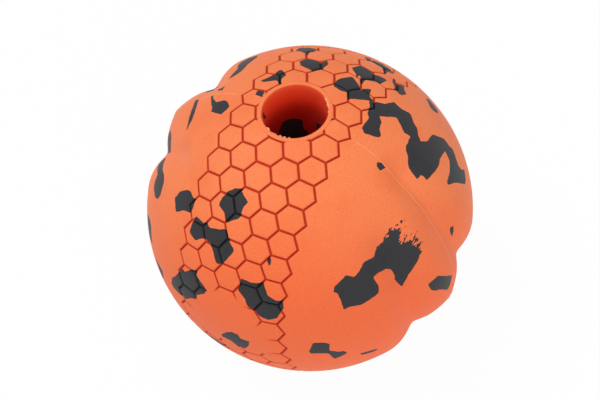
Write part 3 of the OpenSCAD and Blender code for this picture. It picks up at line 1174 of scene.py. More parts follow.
@dataclass
class ShellBuilder:
    """Cuts one half's sheet for its chips and makes the closed solids of the shell and the chips.

    Before a cut the sheet is made finer in rounds: edges within a reach of the outline are split
    until they are no longer than hole_edge, fine_edge or fray_edge.
    """

    half: Half
    skin: Skin
    hollow: Hollow
    chip_depth: float = 4.0
    chip_sink: float = 0.03
    hole_edge: float = 0.35
    hole_rounds: int = 2
    fine_edge: float = 0.34
    fine_reach: float = 0.1
    fine_rounds: int = 3
    fray_edge: float = 0.15
    fray_span: float = 0.499
    fray_rounds: int = 4

    @property
    def holes(self) -> tuple[RoundHole, RoundHole]:
        """The edges of the lip and of the vent hole."""
        lip, vent = math.radians(self.hollow.lip_angle), math.radians(self.hollow.vent_angle)
        return RoundHole(1, lip), RoundHole(-1, vent)

    def prepare(self, outlines: dict[int, ChipOutline]) -> Sheet:
        """The half's sheet, cut along the holes and the outlines.

        Args:
            outlines: The outline of each chip by its label.

        Returns:
            The sheet, each chip's label on its faces and the shell's label on the others.
        """
        sheet = HalfSkin(self.half, self.skin).sheet()
        for hole in self.holes:
            for _ in range(self.hole_rounds):
                sheet.refine(hole.gap, 0.0, self.hole_edge)
            sheet.cut(hole.gap(sheet.points[:, :3]), HOLE_LABEL)
            sheet.drop_label(HOLE_LABEL)
        for hole in self.holes:
            hole.settle(sheet)
        for label, outline in outlines.items():
            if outline.edge is Edge.FRAYED:
                for _ in range(self.fray_rounds):
                    sheet.refine(outline.fray_gap, self.fray_span, self.fray_edge)
            for _ in range(self.fine_rounds):
                sheet.refine(outline.gap, self.fine_reach, self.fine_edge)
            sheet.cut(outline.gap(sheet.points[:, :3]), label)
        return sheet

    def chip(self, sheet: Sheet, label: int) -> Solid:
        """One chip as a closed solid.

        Args:
            sheet: The cut sheet.
            label: The chip's label.

        Returns:
            Points in millimetres, triangles and the layers for the material.
        """
        used, back = np.unique(sheet.faces[sheet.labels == label], return_inverse=True)
        top = back.reshape(-1, 3)
        rows = sheet.points[used]
        way = rows[:, :3]
        points = np.vstack([
            way * (self.skin.radius(rows) - self.chip_sink)[:, None],
            way * (BALL_R - self.chip_depth),
        ])
        low = len(used)
        start, end = sheet.rim(top).T
        walls = np.vstack([
            np.column_stack([end, start, start + low]),
            np.column_stack([end, start + low, end + low]),
        ])
        # Share of the groove's depth at each point, which paints shade into the grooves' colour
        groove = self.skin.honeycomb.drop_share(rows)
        layers = {"groove": np.concatenate([groove, np.zeros(low)])}
        return points, np.vstack([top, walls, top[:, ::-1] + low]), layers

    def chip_seat(self, sheet: Sheet, label: int, base: int) -> tuple[np.ndarray, np.ndarray]:
        """The seat of one chip in the shell.

        Args:
            sheet: The cut sheet.
            label: The chip's label.
            base: Number of the seat's first point.

        Returns:
            The points of its floor, and the triangles of its floor and walls.
        """
        patch = sheet.faces[sheet.labels == label]
        used, back = np.unique(patch, return_inverse=True)
        rim = sheet.rim(patch)
        low = np.searchsorted(used, rim) + base
        faces = np.vstack([
            back.reshape(-1, 3) + base,
            np.column_stack([rim[:, 0], rim[:, 1], low[:, 0]]),
            np.column_stack([rim[:, 1], low[:, 1], low[:, 0]]),
        ])
        return sheet.points[used, :3] * (BALL_R - self.chip_depth), faces

    def shell(self, sheet: Sheet, labels: list[int]) -> Solid:
        """The shell as a closed solid, with the seats of its chips.

        Args:
            sheet: The cut sheet.
            labels: The labels of its chips.

        Returns:
            Points in millimetres, triangles and the layers for the material.
        """
        points = [sheet.points[:, :3] * self.skin.radius(sheet.points)[:, None]]
        faces = [sheet.faces[sheet.labels == SHELL_LABEL]]
        count = len(sheet.points)
        for label in labels:
            floor, joined = self.chip_seat(sheet, label, count)
            points.append(floor)
            faces.append(joined)
            count += len(floor)
        profile = self.hollow.profile()
        turns = np.linspace(0.0, math.pi, self.hollow.turns + 1)
        rows, width = len(profile), len(turns)
        inner = np.stack([
            profile[:, :1] * np.cos(turns),
            -self.half.value * profile[:, :1] * np.sin(turns),
            np.repeat(profile[:, 1:], width, axis=1),
        ], -1)
        points.append(inner.reshape(-1, 3))
        number = count + np.arange(rows * width).reshape(rows, width)
        faces.append(grid_faces(rows, width, False, count))
        faces += self.hole_closings(sheet, number, turns)
        faces += self.plane_closings(sheet, number, profile)
        # Share of the groove's depth, which paints shade into the grooves' colour
        groove = self.skin.honeycomb.drop_share(sheet.points)
        layers = {
            "groove": np.concatenate([groove, np.zeros(count - len(groove) + rows * width)]),
            # Painted shade inside the hole, deeper with depth
            "bore_shade": np.concatenate([np.zeros(count), np.repeat(self.hollow.hollow_shade_share(profile), width)]),
        }
        return np.vstack(points), np.vstack(faces), layers

    def hole_closings(self, sheet: Sheet, number: np.ndarray, turns: np.ndarray) -> list[np.ndarray]:
        """The faces that join the skin to the inner surface at the two holes.

        Args:
            sheet: The cut sheet.
            number: Point numbers of the inner surface, row by row.
            turns: The angle of each of its columns.

        Returns:
            Arrays of triangles.
        """
        rim = np.unique(sheet.rim(sheet.faces))
        out = []
        for hole, row in zip(self.holes, (0, -1)):
            near = rim[np.abs(hole.gap(sheet.points[rim, :3])) < ON_EDGE]
            at = np.arctan2(-self.half.value * sheet.points[near, 1], sheet.points[near, 0])
            at = np.clip(np.where(at < -math.pi / 2, math.pi, at), 0.0, math.pi)
            order = np.argsort(at)
            out.append(np.array(zipped(near[order], at[order], number[row], turns)))
        return out

    def plane_closings(self, sheet: Sheet, number: np.ndarray, profile: np.ndarray) -> list[np.ndarray]:
        """The faces of the shell on the parting plane, from the skin to the inner surface.

        Args:
            sheet: The cut sheet.
            number: Point numbers of the inner surface, row by row.
            profile: Radius and height of the inner surface.

        Returns:
            Arrays of triangles.
        """
        rim = np.unique(sheet.rim(sheet.faces))
        way = sheet.points[rim, :3]
        length = np.concatenate([[0.0], np.cumsum(np.hypot(*np.diff(profile, axis=0).T))])
        out = []
        for side, column in ((1, 0), (-1, -1)):
            edge = rim[(np.abs(way[:, 1]) < ON_PLANE) & (side * way[:, 0] > 0)]
            at = np.arctan2(side * sheet.points[edge, 0], sheet.points[edge, 2])
            order = np.argsort(at)
            span = (at[order] - at[order][0]) / (at[order][-1] - at[order][0])
            out.append(np.array(zipped(edge[order], span, number[:, column], length / length[-1])))
        return out


def solid(name: str, shape: Solid, finish: bpy.types.Material) -> bpy.types.Object:
    """Makes a smooth mesh object of a closed solid.

    Args:
        name: Name of the piece.
        shape: Its points in millimetres, its triangles and shares per point for the material to read.
        finish: Its material.

    Returns:
        The object, linked to the scene, its faces turned outwards.
    """
    points, faces, layers = shape
    used, back = np.unique(faces, return_inverse=True)
    faces = back.reshape(-1, 3)
    mesh = bpy.data.meshes.new(name)
    mesh.vertices.add(len(used))
    mesh.vertices.foreach_set("co", (points[used] * MM).astype(np.float32).ravel())
    mesh.loops.add(faces.size)
    mesh.loops.foreach_set("vertex_index", faces.astype(np.int32).ravel())
    mesh.polygons.add(len(faces))
    mesh.polygons.foreach_set("loop_start", np.arange(0, faces.size, 3, dtype=np.int32))
    mesh.update(calc_edges=True)
    for layer_name, values in layers.items():
        layer = mesh.attributes.new(layer_name, "FLOAT", "POINT")
        layer.data.foreach_set("value", values[used].astype(np.float32))
    turned = bmesh.new()
    turned.from_mesh(mesh)
    bmesh.ops.recalc_face_normals(turned, faces=turned.faces)
    turned.to_mesh(mesh)
    turned.free()
    mesh.materials.append(finish)
    mesh.shade_smooth()
    mesh.set_sharp_from_angle(angle=math.radians(SHARP_DEG))
    made = bpy.data.objects.new(name, mesh)
    bpy.context.scene.collection.objects.link(made)
    return made


def seat(piece: bpy.types.Object, slot: str, *nodes: str) -> bpy.types.Object:
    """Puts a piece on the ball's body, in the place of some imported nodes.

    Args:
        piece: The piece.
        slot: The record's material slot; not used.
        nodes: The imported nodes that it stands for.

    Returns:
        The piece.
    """
    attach(piece, BODY)
    if nodes:
        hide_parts(*nodes)
    LOG.info("%s: %d faces", piece.name, len(piece.data.polygons))
    return piece


@dataclass
class PartingLine:
    """The fine line of flash where the two halves meet, over one cheek.

    It rises from the skin by up to rise, in bumps of rise_size, and reaches into it by root.
    """

    side: int
    skin: Skin
    width: float = 0.38
    rise: float = 0.14
    rise_size: float = 1.6
    grain: Grain = field(default_factory=lambda: Grain(17))
    root: float = 0.1
    start_lat: float = 22.6
    end_fade: float = 3.0
    step_deg: float = 0.5

    def shape(self) -> Solid:
        """The line as a bar with three edges, one on top and two in the skin.

        Returns:
            Points in millimetres, triangles and no layers.
        """
        end = 180 - self.start_lat
        angles = np.arange(self.start_lat, end, self.step_deg)
        turn, flat = np.radians(angles), np.zeros(len(angles))
        way = np.stack([self.side * np.sin(turn), flat, np.cos(turn)], -1)
        gap = np.full(len(angles), self.skin.honeycomb.clear_gap)
        r = self.skin.radius(np.column_stack([way, gap, flat]))
        fade = ease((angles - self.start_lat) / self.end_fade) * ease((end - angles) / self.end_fade)
        rise = self.rise * fade * (1 + self.grain.at(way * r[:, None], self.rise_size)) / 2
        top = way * (r + rise)[:, None]
        low = way * (r - self.root)[:, None]
        half_w = np.array([0.0, self.width / 2, 0.0])
        return np.concatenate([top, low + half_w, low - half_w]), bar_faces(len(angles)), {}

    def make(self, finish: bpy.types.Material) -> None:
        """Makes the line and puts it on the ball.

        Args:
            finish: Its material.
        """
        name = "parting_line_right" if self.side > 0 else "parting_line_left"
        seat(solid(name, self.shape(), finish), "orange_rubber")


@dataclass
class Throat:
    """What shows inside the treat hole: the collar, black flecks in its wall and flash at its mouth.

    A fleck stands proud of the wall and reaches root into it. The flash has three edges, which lie
    flash_drops below the mouth, and the first two rise with the crumb's reach by flash_lifts.
    """

    hollow: Hollow
    proud: float = 0.03
    root: float = 0.25
    rings: tuple[float, ...] = (0.25, 0.5, 0.75, 1.0)
    edge_step: float = 0.3
    ragged: float = 0.04
    ragged_size: float = 1.2
    turns: int = 120
    flash_in: float = 0.34
    flash_step: float = 1.0
    flash_fade: float = 0.12
    flash_drops: tuple[float, float, float] = (0.25, 0.1, 0.8)
    flash_lifts: tuple[float, float] = (0.3, 0.5)
    crumb_size: float = 0.55
    fine_crumb_size: float = 0.3
    fine_crumb_share: float = 0.6
    crumb_start: float = 0.25
    grain: Grain = field(default_factory=lambda: Grain(5))

    def collar(self) -> Solid:
        """The collar as a turned solid.

        Returns:
            Points in millimetres, triangles and the layers for the material.
        """
        outline = self.hollow.collar()
        r, z = outline.T
        turn = np.linspace(0, 2 * math.pi, self.turns, endpoint=False)[:, None]
        points = np.stack([r * np.cos(turn), r * np.sin(turn), z + 0 * turn], -1).reshape(-1, 3)
        width = len(outline)
        i, j = np.meshgrid(np.arange(self.turns), np.arange(width), indexing="ij")
        here, there, after = i * width, (i + 1) % self.turns * width, (j + 1) % width
        faces = split_quads(here + j, there + j, there + after, here + after)
        # The collar takes the hole's painted shade at its depth
        return points, faces, {"bore_shade": np.tile(self.hollow.hollow_shade_share(outline), self.turns)}

    def fleck_edge(self, corners: Outline) -> tuple[np.ndarray, np.ndarray]:
        """The ragged outline of a fleck, laid flat.

        Args:
            corners: Its corners as angle round the hole's axis, in degrees, and height in millimetres.

        Returns:
            Its middle and its outline, as distance round the wall and height in millimetres.
        """
        flat = np.array(corners) * [math.pi / 180 * self.hollow.hole_r, 1.0]
        rows = []
        for start, end in zip(flat, np.roll(flat, -1, axis=0)):
            count = max(2, round(float(np.linalg.norm(end - start)) / self.edge_step))
            rows += [start + (end - start) * k / count for k in range(count)]
        edge = np.array(rows)
        middle = edge.mean(0)
        spots = np.column_stack([edge, np.zeros(len(edge))])
        scale = 1 + self.ragged * self.grain.at(spots, self.ragged_size)
        return middle, middle + (edge - middle) * scale[:, None]

    def fleck(self, corners: Outline) -> Solid:
        """A black fleck in the throat's wall.

        Args:
            corners: Its corners as angle round the hole's axis, in degrees, and height in millimetres.

        Returns:
            Points in millimetres, triangles and no layers.
        """
        middle, edge = self.fleck_edge(corners)
        front = np.vstack([middle] + [middle + (edge - middle) * share for share in self.rings])
        flat = np.vstack([front, edge, middle])
        width, last = len(edge), len(front)
        depth = np.concatenate([np.full(last, -self.proud), np.full(width + 1, self.root)])
        r, turn = self.hollow.hole_r + depth, flat[:, 0] / self.hollow.hole_r
        points = np.column_stack([r * np.cos(turn), r * np.sin(turn), flat[:, 1]])
        faces = np.vstack([
            fan_faces(1, width, True, 0)[:, ::-1],
            grid_faces(len(self.rings) + 1, width, True, 1),
            fan_faces(last, width, True, last + width),
        ])
        return points, faces, {}

    def flash(self, start: float, end: float) -> Solid:
        """Ragged crumbs of flash along part of the mouth, as a bar with three edges.

        Args:
            start: Where it starts, as an angle round the hole's axis in degrees.
            end: Where it ends.

        Returns:
            Points in millimetres, triangles and no layers.
        """
        turn = np.radians(np.arange(start, end + self.flash_step / 2, self.flash_step))
        r, z = self.hollow.hole_r, np.full(len(turn), self.hollow.mouth_z)
        ring = np.stack([np.cos(turn), np.sin(turn)], -1)
        spots = np.column_stack([ring * r, z])
        fine = self.fine_crumb_share * self.grain.at(spots, self.fine_crumb_size)
        crumb = np.clip(self.grain.at(spots, self.crumb_size) + fine + self.crumb_start, 0.0, 1.0)
        fade = ease(np.minimum(turn - turn[0], turn[-1] - turn) / self.flash_fade)
        tip = self.flash_in * crumb * fade
        root = np.full(len(turn), r + self.root)
        drops, lifts = self.flash_drops, self.flash_lifts
        section = (
            (r - tip, z - drops[0] + lifts[0] * tip),
            (root, z - drops[1] + lifts[1] * tip),
            (root, z - drops[2]),
        )
        rows = [np.column_stack([ring * rho[:, None], height]) for rho, height in section]
        return np.vstack(rows), bar_faces(len(turn)), {}

    def build(
        self, orange: bpy.types.Material, black: bpy.types.Material, flash: bpy.types.Material
    ) -> None:
        """Makes every piece.

        Args:
            orange: The finish of the collar.
            black: The finish of the flecks.
            flash: The finish of the flash, paler as a painted highlight.
        """
        seat(solid("throat_collar", self.collar(), orange), "orange_rubber")
        for k, corners in enumerate(THROAT_FLECKS, 1):
            seat(solid(f"throat_fleck_{k}", self.fleck(corners), black), "black_rubber")
        for k, (start, end) in enumerate(MOUTH_FLASH, 1):
            seat(solid(f"mouth_flash_{k}", self.flash(start, end), flash), "orange_rubber")


@dataclass(frozen=True)
class Rubber:
    """A matte rubber: its colours, grain and gloss.

    Each field whose name ends in span holds the value from which a colour shows, the value at which
    it shows most, and how much it then covers.
    """

    name: str
    face: Colour
    # Deeper colour for random patches, and for painted shade on one side
    deep_tone_and_shade: Colour
    grainy: Colour
    # Painted shade in the grooves
    groove: Colour
    # Painted shade inside the hole: a deeper red, and a darker one far in
    bore_shade: Colour
    pit_shade: Colour
    pale: Colour
    # Painted shade: the way on the ball towards its less lit lower side, and where along it the shade
    # comes in
    painted_shade_way: Colour = (0.36, -0.73, -0.58)
    painted_shade_span: Span = (-0.012, 0.026, 1.0)
    patch_span: Span = (0.4, 0.7, 0.35)
    grain_span: Span = (0.5, 0.75, 0.7)
    pale_span: Span = (0.6, 0.8, 0.35)
    groove_span: Span = (0.22, 0.75, 1.0)
    bore_shade_span: Span = (0.0, 1.0, 1.0)
    pit_shade_span: Span = (0.82, 1.02, 1.0)
    patch_scale: float = 90.0
    patch_detail: float = 3.0
    grain_scale: float = 3600.0
    grain_detail: float = 2.0
    pale_scale: float = 2400.0
    pale_detail: float = 1.0
    roughness: float = 0.6
    rough_less: float = 0.08
    rough_more: float = 0.1
    grain_height: float = 0.03
    gloss: float = 0.25
    sheen: float = 0.06
    sheen_roughness: float = 0.6
    sheen_paler: float = 0.4

    def build(self) -> bpy.types.Material:
        """Makes the rubber's material.

        Returns:
            The material.
        """
        made = bpy.data.materials.new(self.name)
        made.use_nodes = True
        tree = made.node_tree
        bsdf = tree.nodes["Principled BSDF"]
        bsdf.inputs["Specular IOR Level"].default_value = self.gloss
        bsdf.inputs["Sheen Weight"].default_value = self.sheen
        bsdf.inputs["Sheen Roughness"].default_value = self.sheen_roughness
        sheen_tint = tuple(min(1.0, self.sheen_paler + c) for c in self.face)
        bsdf.inputs["Sheen Tint"].default_value = (*sheen_tint, 1.0)
        at = tree.nodes.new("ShaderNodeTexCoord").outputs["Object"]
        grain = self.noise(tree, at, self.grain_scale, self.grain_detail)
        tree.links.new(self.colour(tree, at, grain), bsdf.inputs["Base Color"])
        rough = tree.nodes.new("ShaderNodeMapRange")
        rough.inputs["To Min"].default_value = self.roughness - self.rough_less
        rough.inputs["To Max"].default_value = self.roughness + self.rough_more
        tree.links.new(grain, rough.inputs["Value"])
        tree.links.new(rough.outputs["Result"], bsdf.inputs["Roughness"])
        bump = tree.nodes.new("ShaderNodeBump")
        bump.inputs["Strength"].default_value = 1.0
        bump.inputs["Distance"].default_value = self.grain_height * MM
        tree.links.new(grain, bump.inputs["Height"])
        tree.links.new(bump.outputs["Normal"], bsdf.inputs["Normal"])
        return made

    def colour(
        self, tree: bpy.types.NodeTree, at: bpy.types.NodeSocket, grain: bpy.types.NodeSocket
    ) -> bpy.types.NodeSocket:
        """The rubber's colour, with its patches, grain and specks, and with painted shade towards one
        side, in the grooves and inside the hole.

        Args:
            tree: The material's nodes.
            at: The place on the ball in metres.
            grain: The noise of the grain.

        Returns:
            The colour.
        """
        patches = self.noise(tree, at, self.patch_scale, self.patch_detail)
        specks = self.noise(tree, at, self.pale_scale, self.pale_detail)
        # Painted shade: deeper colour towards the less lit side
        colour = self.mix(tree, self.side(tree, at), self.face, self.deep_tone_and_shade)
        colour = self.mix(tree, self.ramp(tree, patches, self.patch_span), colour, self.deep_tone_and_shade)
        colour = self.mix(tree, self.ramp(tree, grain, self.grain_span), colour, self.grainy)
        colour = self.mix(tree, self.ramp(tree, specks, self.pale_span), colour, self.pale)
        # Painted shade, by the shares that the meshes carry: darker in the grooves and inside the hole
        layers = (
            ("groove", self.groove_span, self.groove),
            ("bore_shade", self.bore_shade_span, self.bore_shade),
            ("bore_shade", self.pit_shade_span, self.pit_shade),
        )
        for layer, span, tone in layers:
            share = tree.nodes.new("ShaderNodeAttribute")
            share.attribute_name = layer
            colour = self.mix(tree, self.ramp(tree, share.outputs["Fac"], span), colour, tone)
        return colour

    def side(self, tree: bpy.types.NodeTree, at: bpy.types.NodeSocket) -> bpy.types.NodeSocket:
        """Share of painted shade at each place on the ball, which grows towards its side on which less
        light falls.

        Args:
            tree: The material's nodes.
            at: The place on the ball in metres.

        Returns:
            The share, from 0 to 1.
        """
        node = tree.nodes.new("ShaderNodeVectorMath")
        node.operation = "DOT_PRODUCT"
        node.inputs[1].default_value = self.painted_shade_way
        tree.links.new(at, node.inputs[0])
        return self.ramp(tree, node.outputs["Value"], self.painted_shade_span)

    def noise(
        self, tree: bpy.types.NodeTree, at: bpy.types.NodeSocket, scale: float, detail: float
    ) -> bpy.types.NodeSocket:
        """A noise pattern fixed to the ball.

        Args:
            tree: The material's nodes.
            at: The place on the ball in metres.
            scale: Bumps per metre.
            detail: Number of finer layers.

        Returns:
            The noise, from 0 to 1.
        """
        node = tree.nodes.new("ShaderNodeTexNoise")
        node.inputs["Scale"].default_value = scale
        node.inputs["Detail"].default_value = detail
        tree.links.new(at, node.inputs["Vector"])
        return node.outputs["Fac"]

    def ramp(
        self, tree: bpy.types.NodeTree, value: bpy.types.NodeSocket, span: Span
    ) -> bpy.types.NodeSocket:
        """A smooth share of a value.

        Args:
            tree: The material's nodes.
            value: The value.
            span: The value at which the share is 0, the value from which it is full, and the full share.

        Returns:
            The share.
        """
        node = tree.nodes.new("ShaderNodeMapRange")
        node.interpolation_type = "SMOOTHSTEP"
        for socket, limit in zip(("From Min", "From Max", "To Max"), span):
            node.inputs[socket].default_value = limit
        tree.links.new(value, node.inputs["Value"])
        return node.outputs["Result"]

    def mix(
        self,
        tree: bpy.types.NodeTree,
        share: bpy.types.NodeSocket,
        low: Colour | bpy.types.NodeSocket,
        high: Colour | bpy.types.NodeSocket,
    ) -> bpy.types.NodeSocket:
        """A colour between two others.

        Args:
            tree: The material's nodes.
            share: The share of the second colour.
            low: The first colour.
            high: The second colour.

        Returns:
            The mixed colour.
        """
        node = tree.nodes.new("ShaderNodeMix")
        node.data_type = "RGBA"
        tree.links.new(share, node.inputs["Factor"])
        for socket, value in ((node.inputs[6], low), (node.inputs[7], high)):
            if isinstance(value, bpy.types.NodeSocket):
                tree.links.new(value, socket)
            else:
                socket.default_value = (*value, 1.0)
        return node.outputs[2]


# In each rubber, the colours for the grooves and for the hole are painted shade
ORANGE = Rubber(
    "orange_rubber",
    face=(0.94, 0.235, 0.078),
    deep_tone_and_shade=(0.9, 0.145, 0.038),
    grainy=(0.8, 0.13, 0.045),
    groove=(0.53, 0.028, 0.003),
    bore_shade=(1.0, 0.045, 0.008),
    pit_shade=(0.56, 0.014, 0.002),
    pale=(1.0, 0.34, 0.15),
)
# Paler orange for the flash of the parting line and the mouth: a painted highlight
FLASH_HIGHLIGHT = Rubber(
    "orange_flash_highlight",
    face=(1.0, 0.4, 0.18),
    deep_tone_and_shade=(1.0, 0.3, 0.12),
    grainy=(0.95, 0.3, 0.12),
    groove=(0.9, 0.2, 0.07),
    bore_shade=(0.9, 0.2, 0.07),
    pit_shade=(0.9, 0.2, 0.07),
    pale=(1.0, 0.45, 0.25),
)
BLACK = Rubber(
    "black_rubber",
    face=(0.031, 0.031, 0.036),
    deep_tone_and_shade=(0.024, 0.024, 0.028),
    grainy=(0.02, 0.02, 0.024),
    groove=(0.003, 0.003, 0.004),
    bore_shade=(0.01, 0.01, 0.01),
    pit_shade=(0.01, 0.01, 0.01),
    pale=(0.06, 0.058, 0.06),
    roughness=0.55,
)


@dataclass(frozen=True)
class Lamp:
    """A round lamp: its place in the camera's right, up and back directions, its width and power."""

    name: str
    way: tuple[float, float, float]
    width: float
    watts: float


@dataclass
class Studio:
    """The floor, the lights and the camera at the photograph's angle, with lengths in metres."""

    right: tuple[float, float, float] = (0.8643, 0.4948, -0.0899)
    up: tuple[float, float, float] = (-0.3591, 0.7323, 0.5785)
    back: tuple[float, float, float] = (0.3521, -0.4677, 0.8107)
    distance: float = 0.6
    lens_mm: float = 146.4
    sensor_mm: float = 36.0
    clip: tuple[float, float] = (0.05, 10.0)
    shift: tuple[float, float] = (-0.0167, 0.0137)
    floor_z: float = -0.04
    floor_half_w: float = 3.0
    floor_grey: float = 0.92
    floor_roughness: float = 0.95
    floor_white: float = 0.97
    world: float = 0.56
    key: Lamp = Lamp("key_lamp", (-0.5, 0.6, 0.75), 0.5, 5.0)
    fill: Lamp = Lamp("fill_lamp", (0.4, -0.35, 0.75), 0.6, 2.1)

    def camera(self) -> None:
        """Makes the camera."""
        data = bpy.data.cameras.new("camera")
        data.lens, data.sensor_width = self.lens_mm, self.sensor_mm
        data.shift_x, data.shift_y = self.shift
        data.clip_start, data.clip_end = self.clip
        made = bpy.data.objects.new("camera", data)
        turn = Matrix((self.right, self.up, self.back)).transposed().to_4x4()
        made.matrix_world = Matrix.Translation(Vector(self.back) * self.distance) @ turn
        bpy.context.scene.collection.objects.link(made)
        bpy.context.scene.camera = made

    def floor(self) -> None:
        """Makes the pale floor."""
        mesh = bpy.data.meshes.new("floor")
        signs = ((-1, -1), (1, -1), (1, 1), (-1, 1))
        corners = [(x * self.floor_half_w, y * self.floor_half_w, self.floor_z) for x, y in signs]
        mesh.from_pydata(corners, [], [(0, 1, 2, 3)])
        mesh.materials.append(self.paper())
        made = bpy.data.objects.new("floor", mesh)
        bpy.context.scene.collection.objects.link(made)

    def paper(self) -> bpy.types.Material:
        """Makes the floor's material, which is nearly white to the camera and matte grey to the ball.

        Returns:
            The material.
        """
        made = bpy.data.materials.new("floor_paper")
        made.use_nodes = True
        tree = made.node_tree
        bsdf = tree.nodes["Principled BSDF"]
        bsdf.inputs["Base Color"].default_value = (self.floor_grey, self.floor_grey, self.floor_grey, 1.0)
        bsdf.inputs["Roughness"].default_value = self.floor_roughness
        rays = tree.nodes.new("ShaderNodeLightPath")
        seen = rays.outputs["Is Camera Ray"]
        for other in ("Is Glossy Ray", "Is Transmission Ray"):
            both = tree.nodes.new("ShaderNodeMath")
            both.operation = "MAXIMUM"
            tree.links.new(seen, both.inputs[0])
            tree.links.new(rays.outputs[other], both.inputs[1])
            seen = both.outputs[0]
        share = tree.nodes.new("ShaderNodeMath")
        share.operation = "MULTIPLY"
        share.inputs[1].default_value = self.floor_white
        tree.links.new(seen, share.inputs[0])
        white = tree.nodes.new("ShaderNodeEmission")
        white.inputs["Color"].default_value = (1.0, 1.0, 1.0, 1.0)
        white.inputs["Strength"].default_value = 1.0
        blend = tree.nodes.new("ShaderNodeMixShader")
        tree.links.new(share.outputs[0], blend.inputs["Fac"])
        tree.links.new(bsdf.outputs["BSDF"], blend.inputs[1])
        tree.links.new(white.outputs["Emission"], blend.inputs[2])
        tree.links.new(blend.outputs["Shader"], tree.nodes["Material Output"].inputs["Surface"])
        return made

    def light(self, lamp: Lamp) -> None:
        """Makes a lamp that faces the ball.

        Args:
            lamp: Its name, place, width and power.
        """
        data = bpy.data.lights.new(lamp.name, "AREA")
        data.shape, data.size, data.energy = "DISK", lamp.width, lamp.watts
        made = bpy.data.objects.new(lamp.name, data)
        axes = [Vector(v) for v in (self.right, self.up, self.back)]
        made.location = sum((a * w for a, w in zip(axes, lamp.way)), Vector())
        made.rotation_mode = "QUATERNION"
        made.rotation_quaternion = made.location.to_track_quat("Z", "Y")
        bpy.context.scene.collection.objects.link(made)

    def build(self) -> None:
        """Makes the whole studio."""
        scene = bpy.context.scene
        scene.view_settings.view_transform = "Standard"
        world = bpy.data.worlds.new("studio")
        scene.world = world
        world.use_nodes = True
        sky = world.node_tree.nodes["Background"]
        sky.inputs["Color"].default_value = (1.0, 1.0, 1.0, 1.0)
        sky.inputs["Strength"].default_value = self.world
        self.camera()
        self.floor()
        for lamp in (self.key, self.fill):
            self.light(lamp)


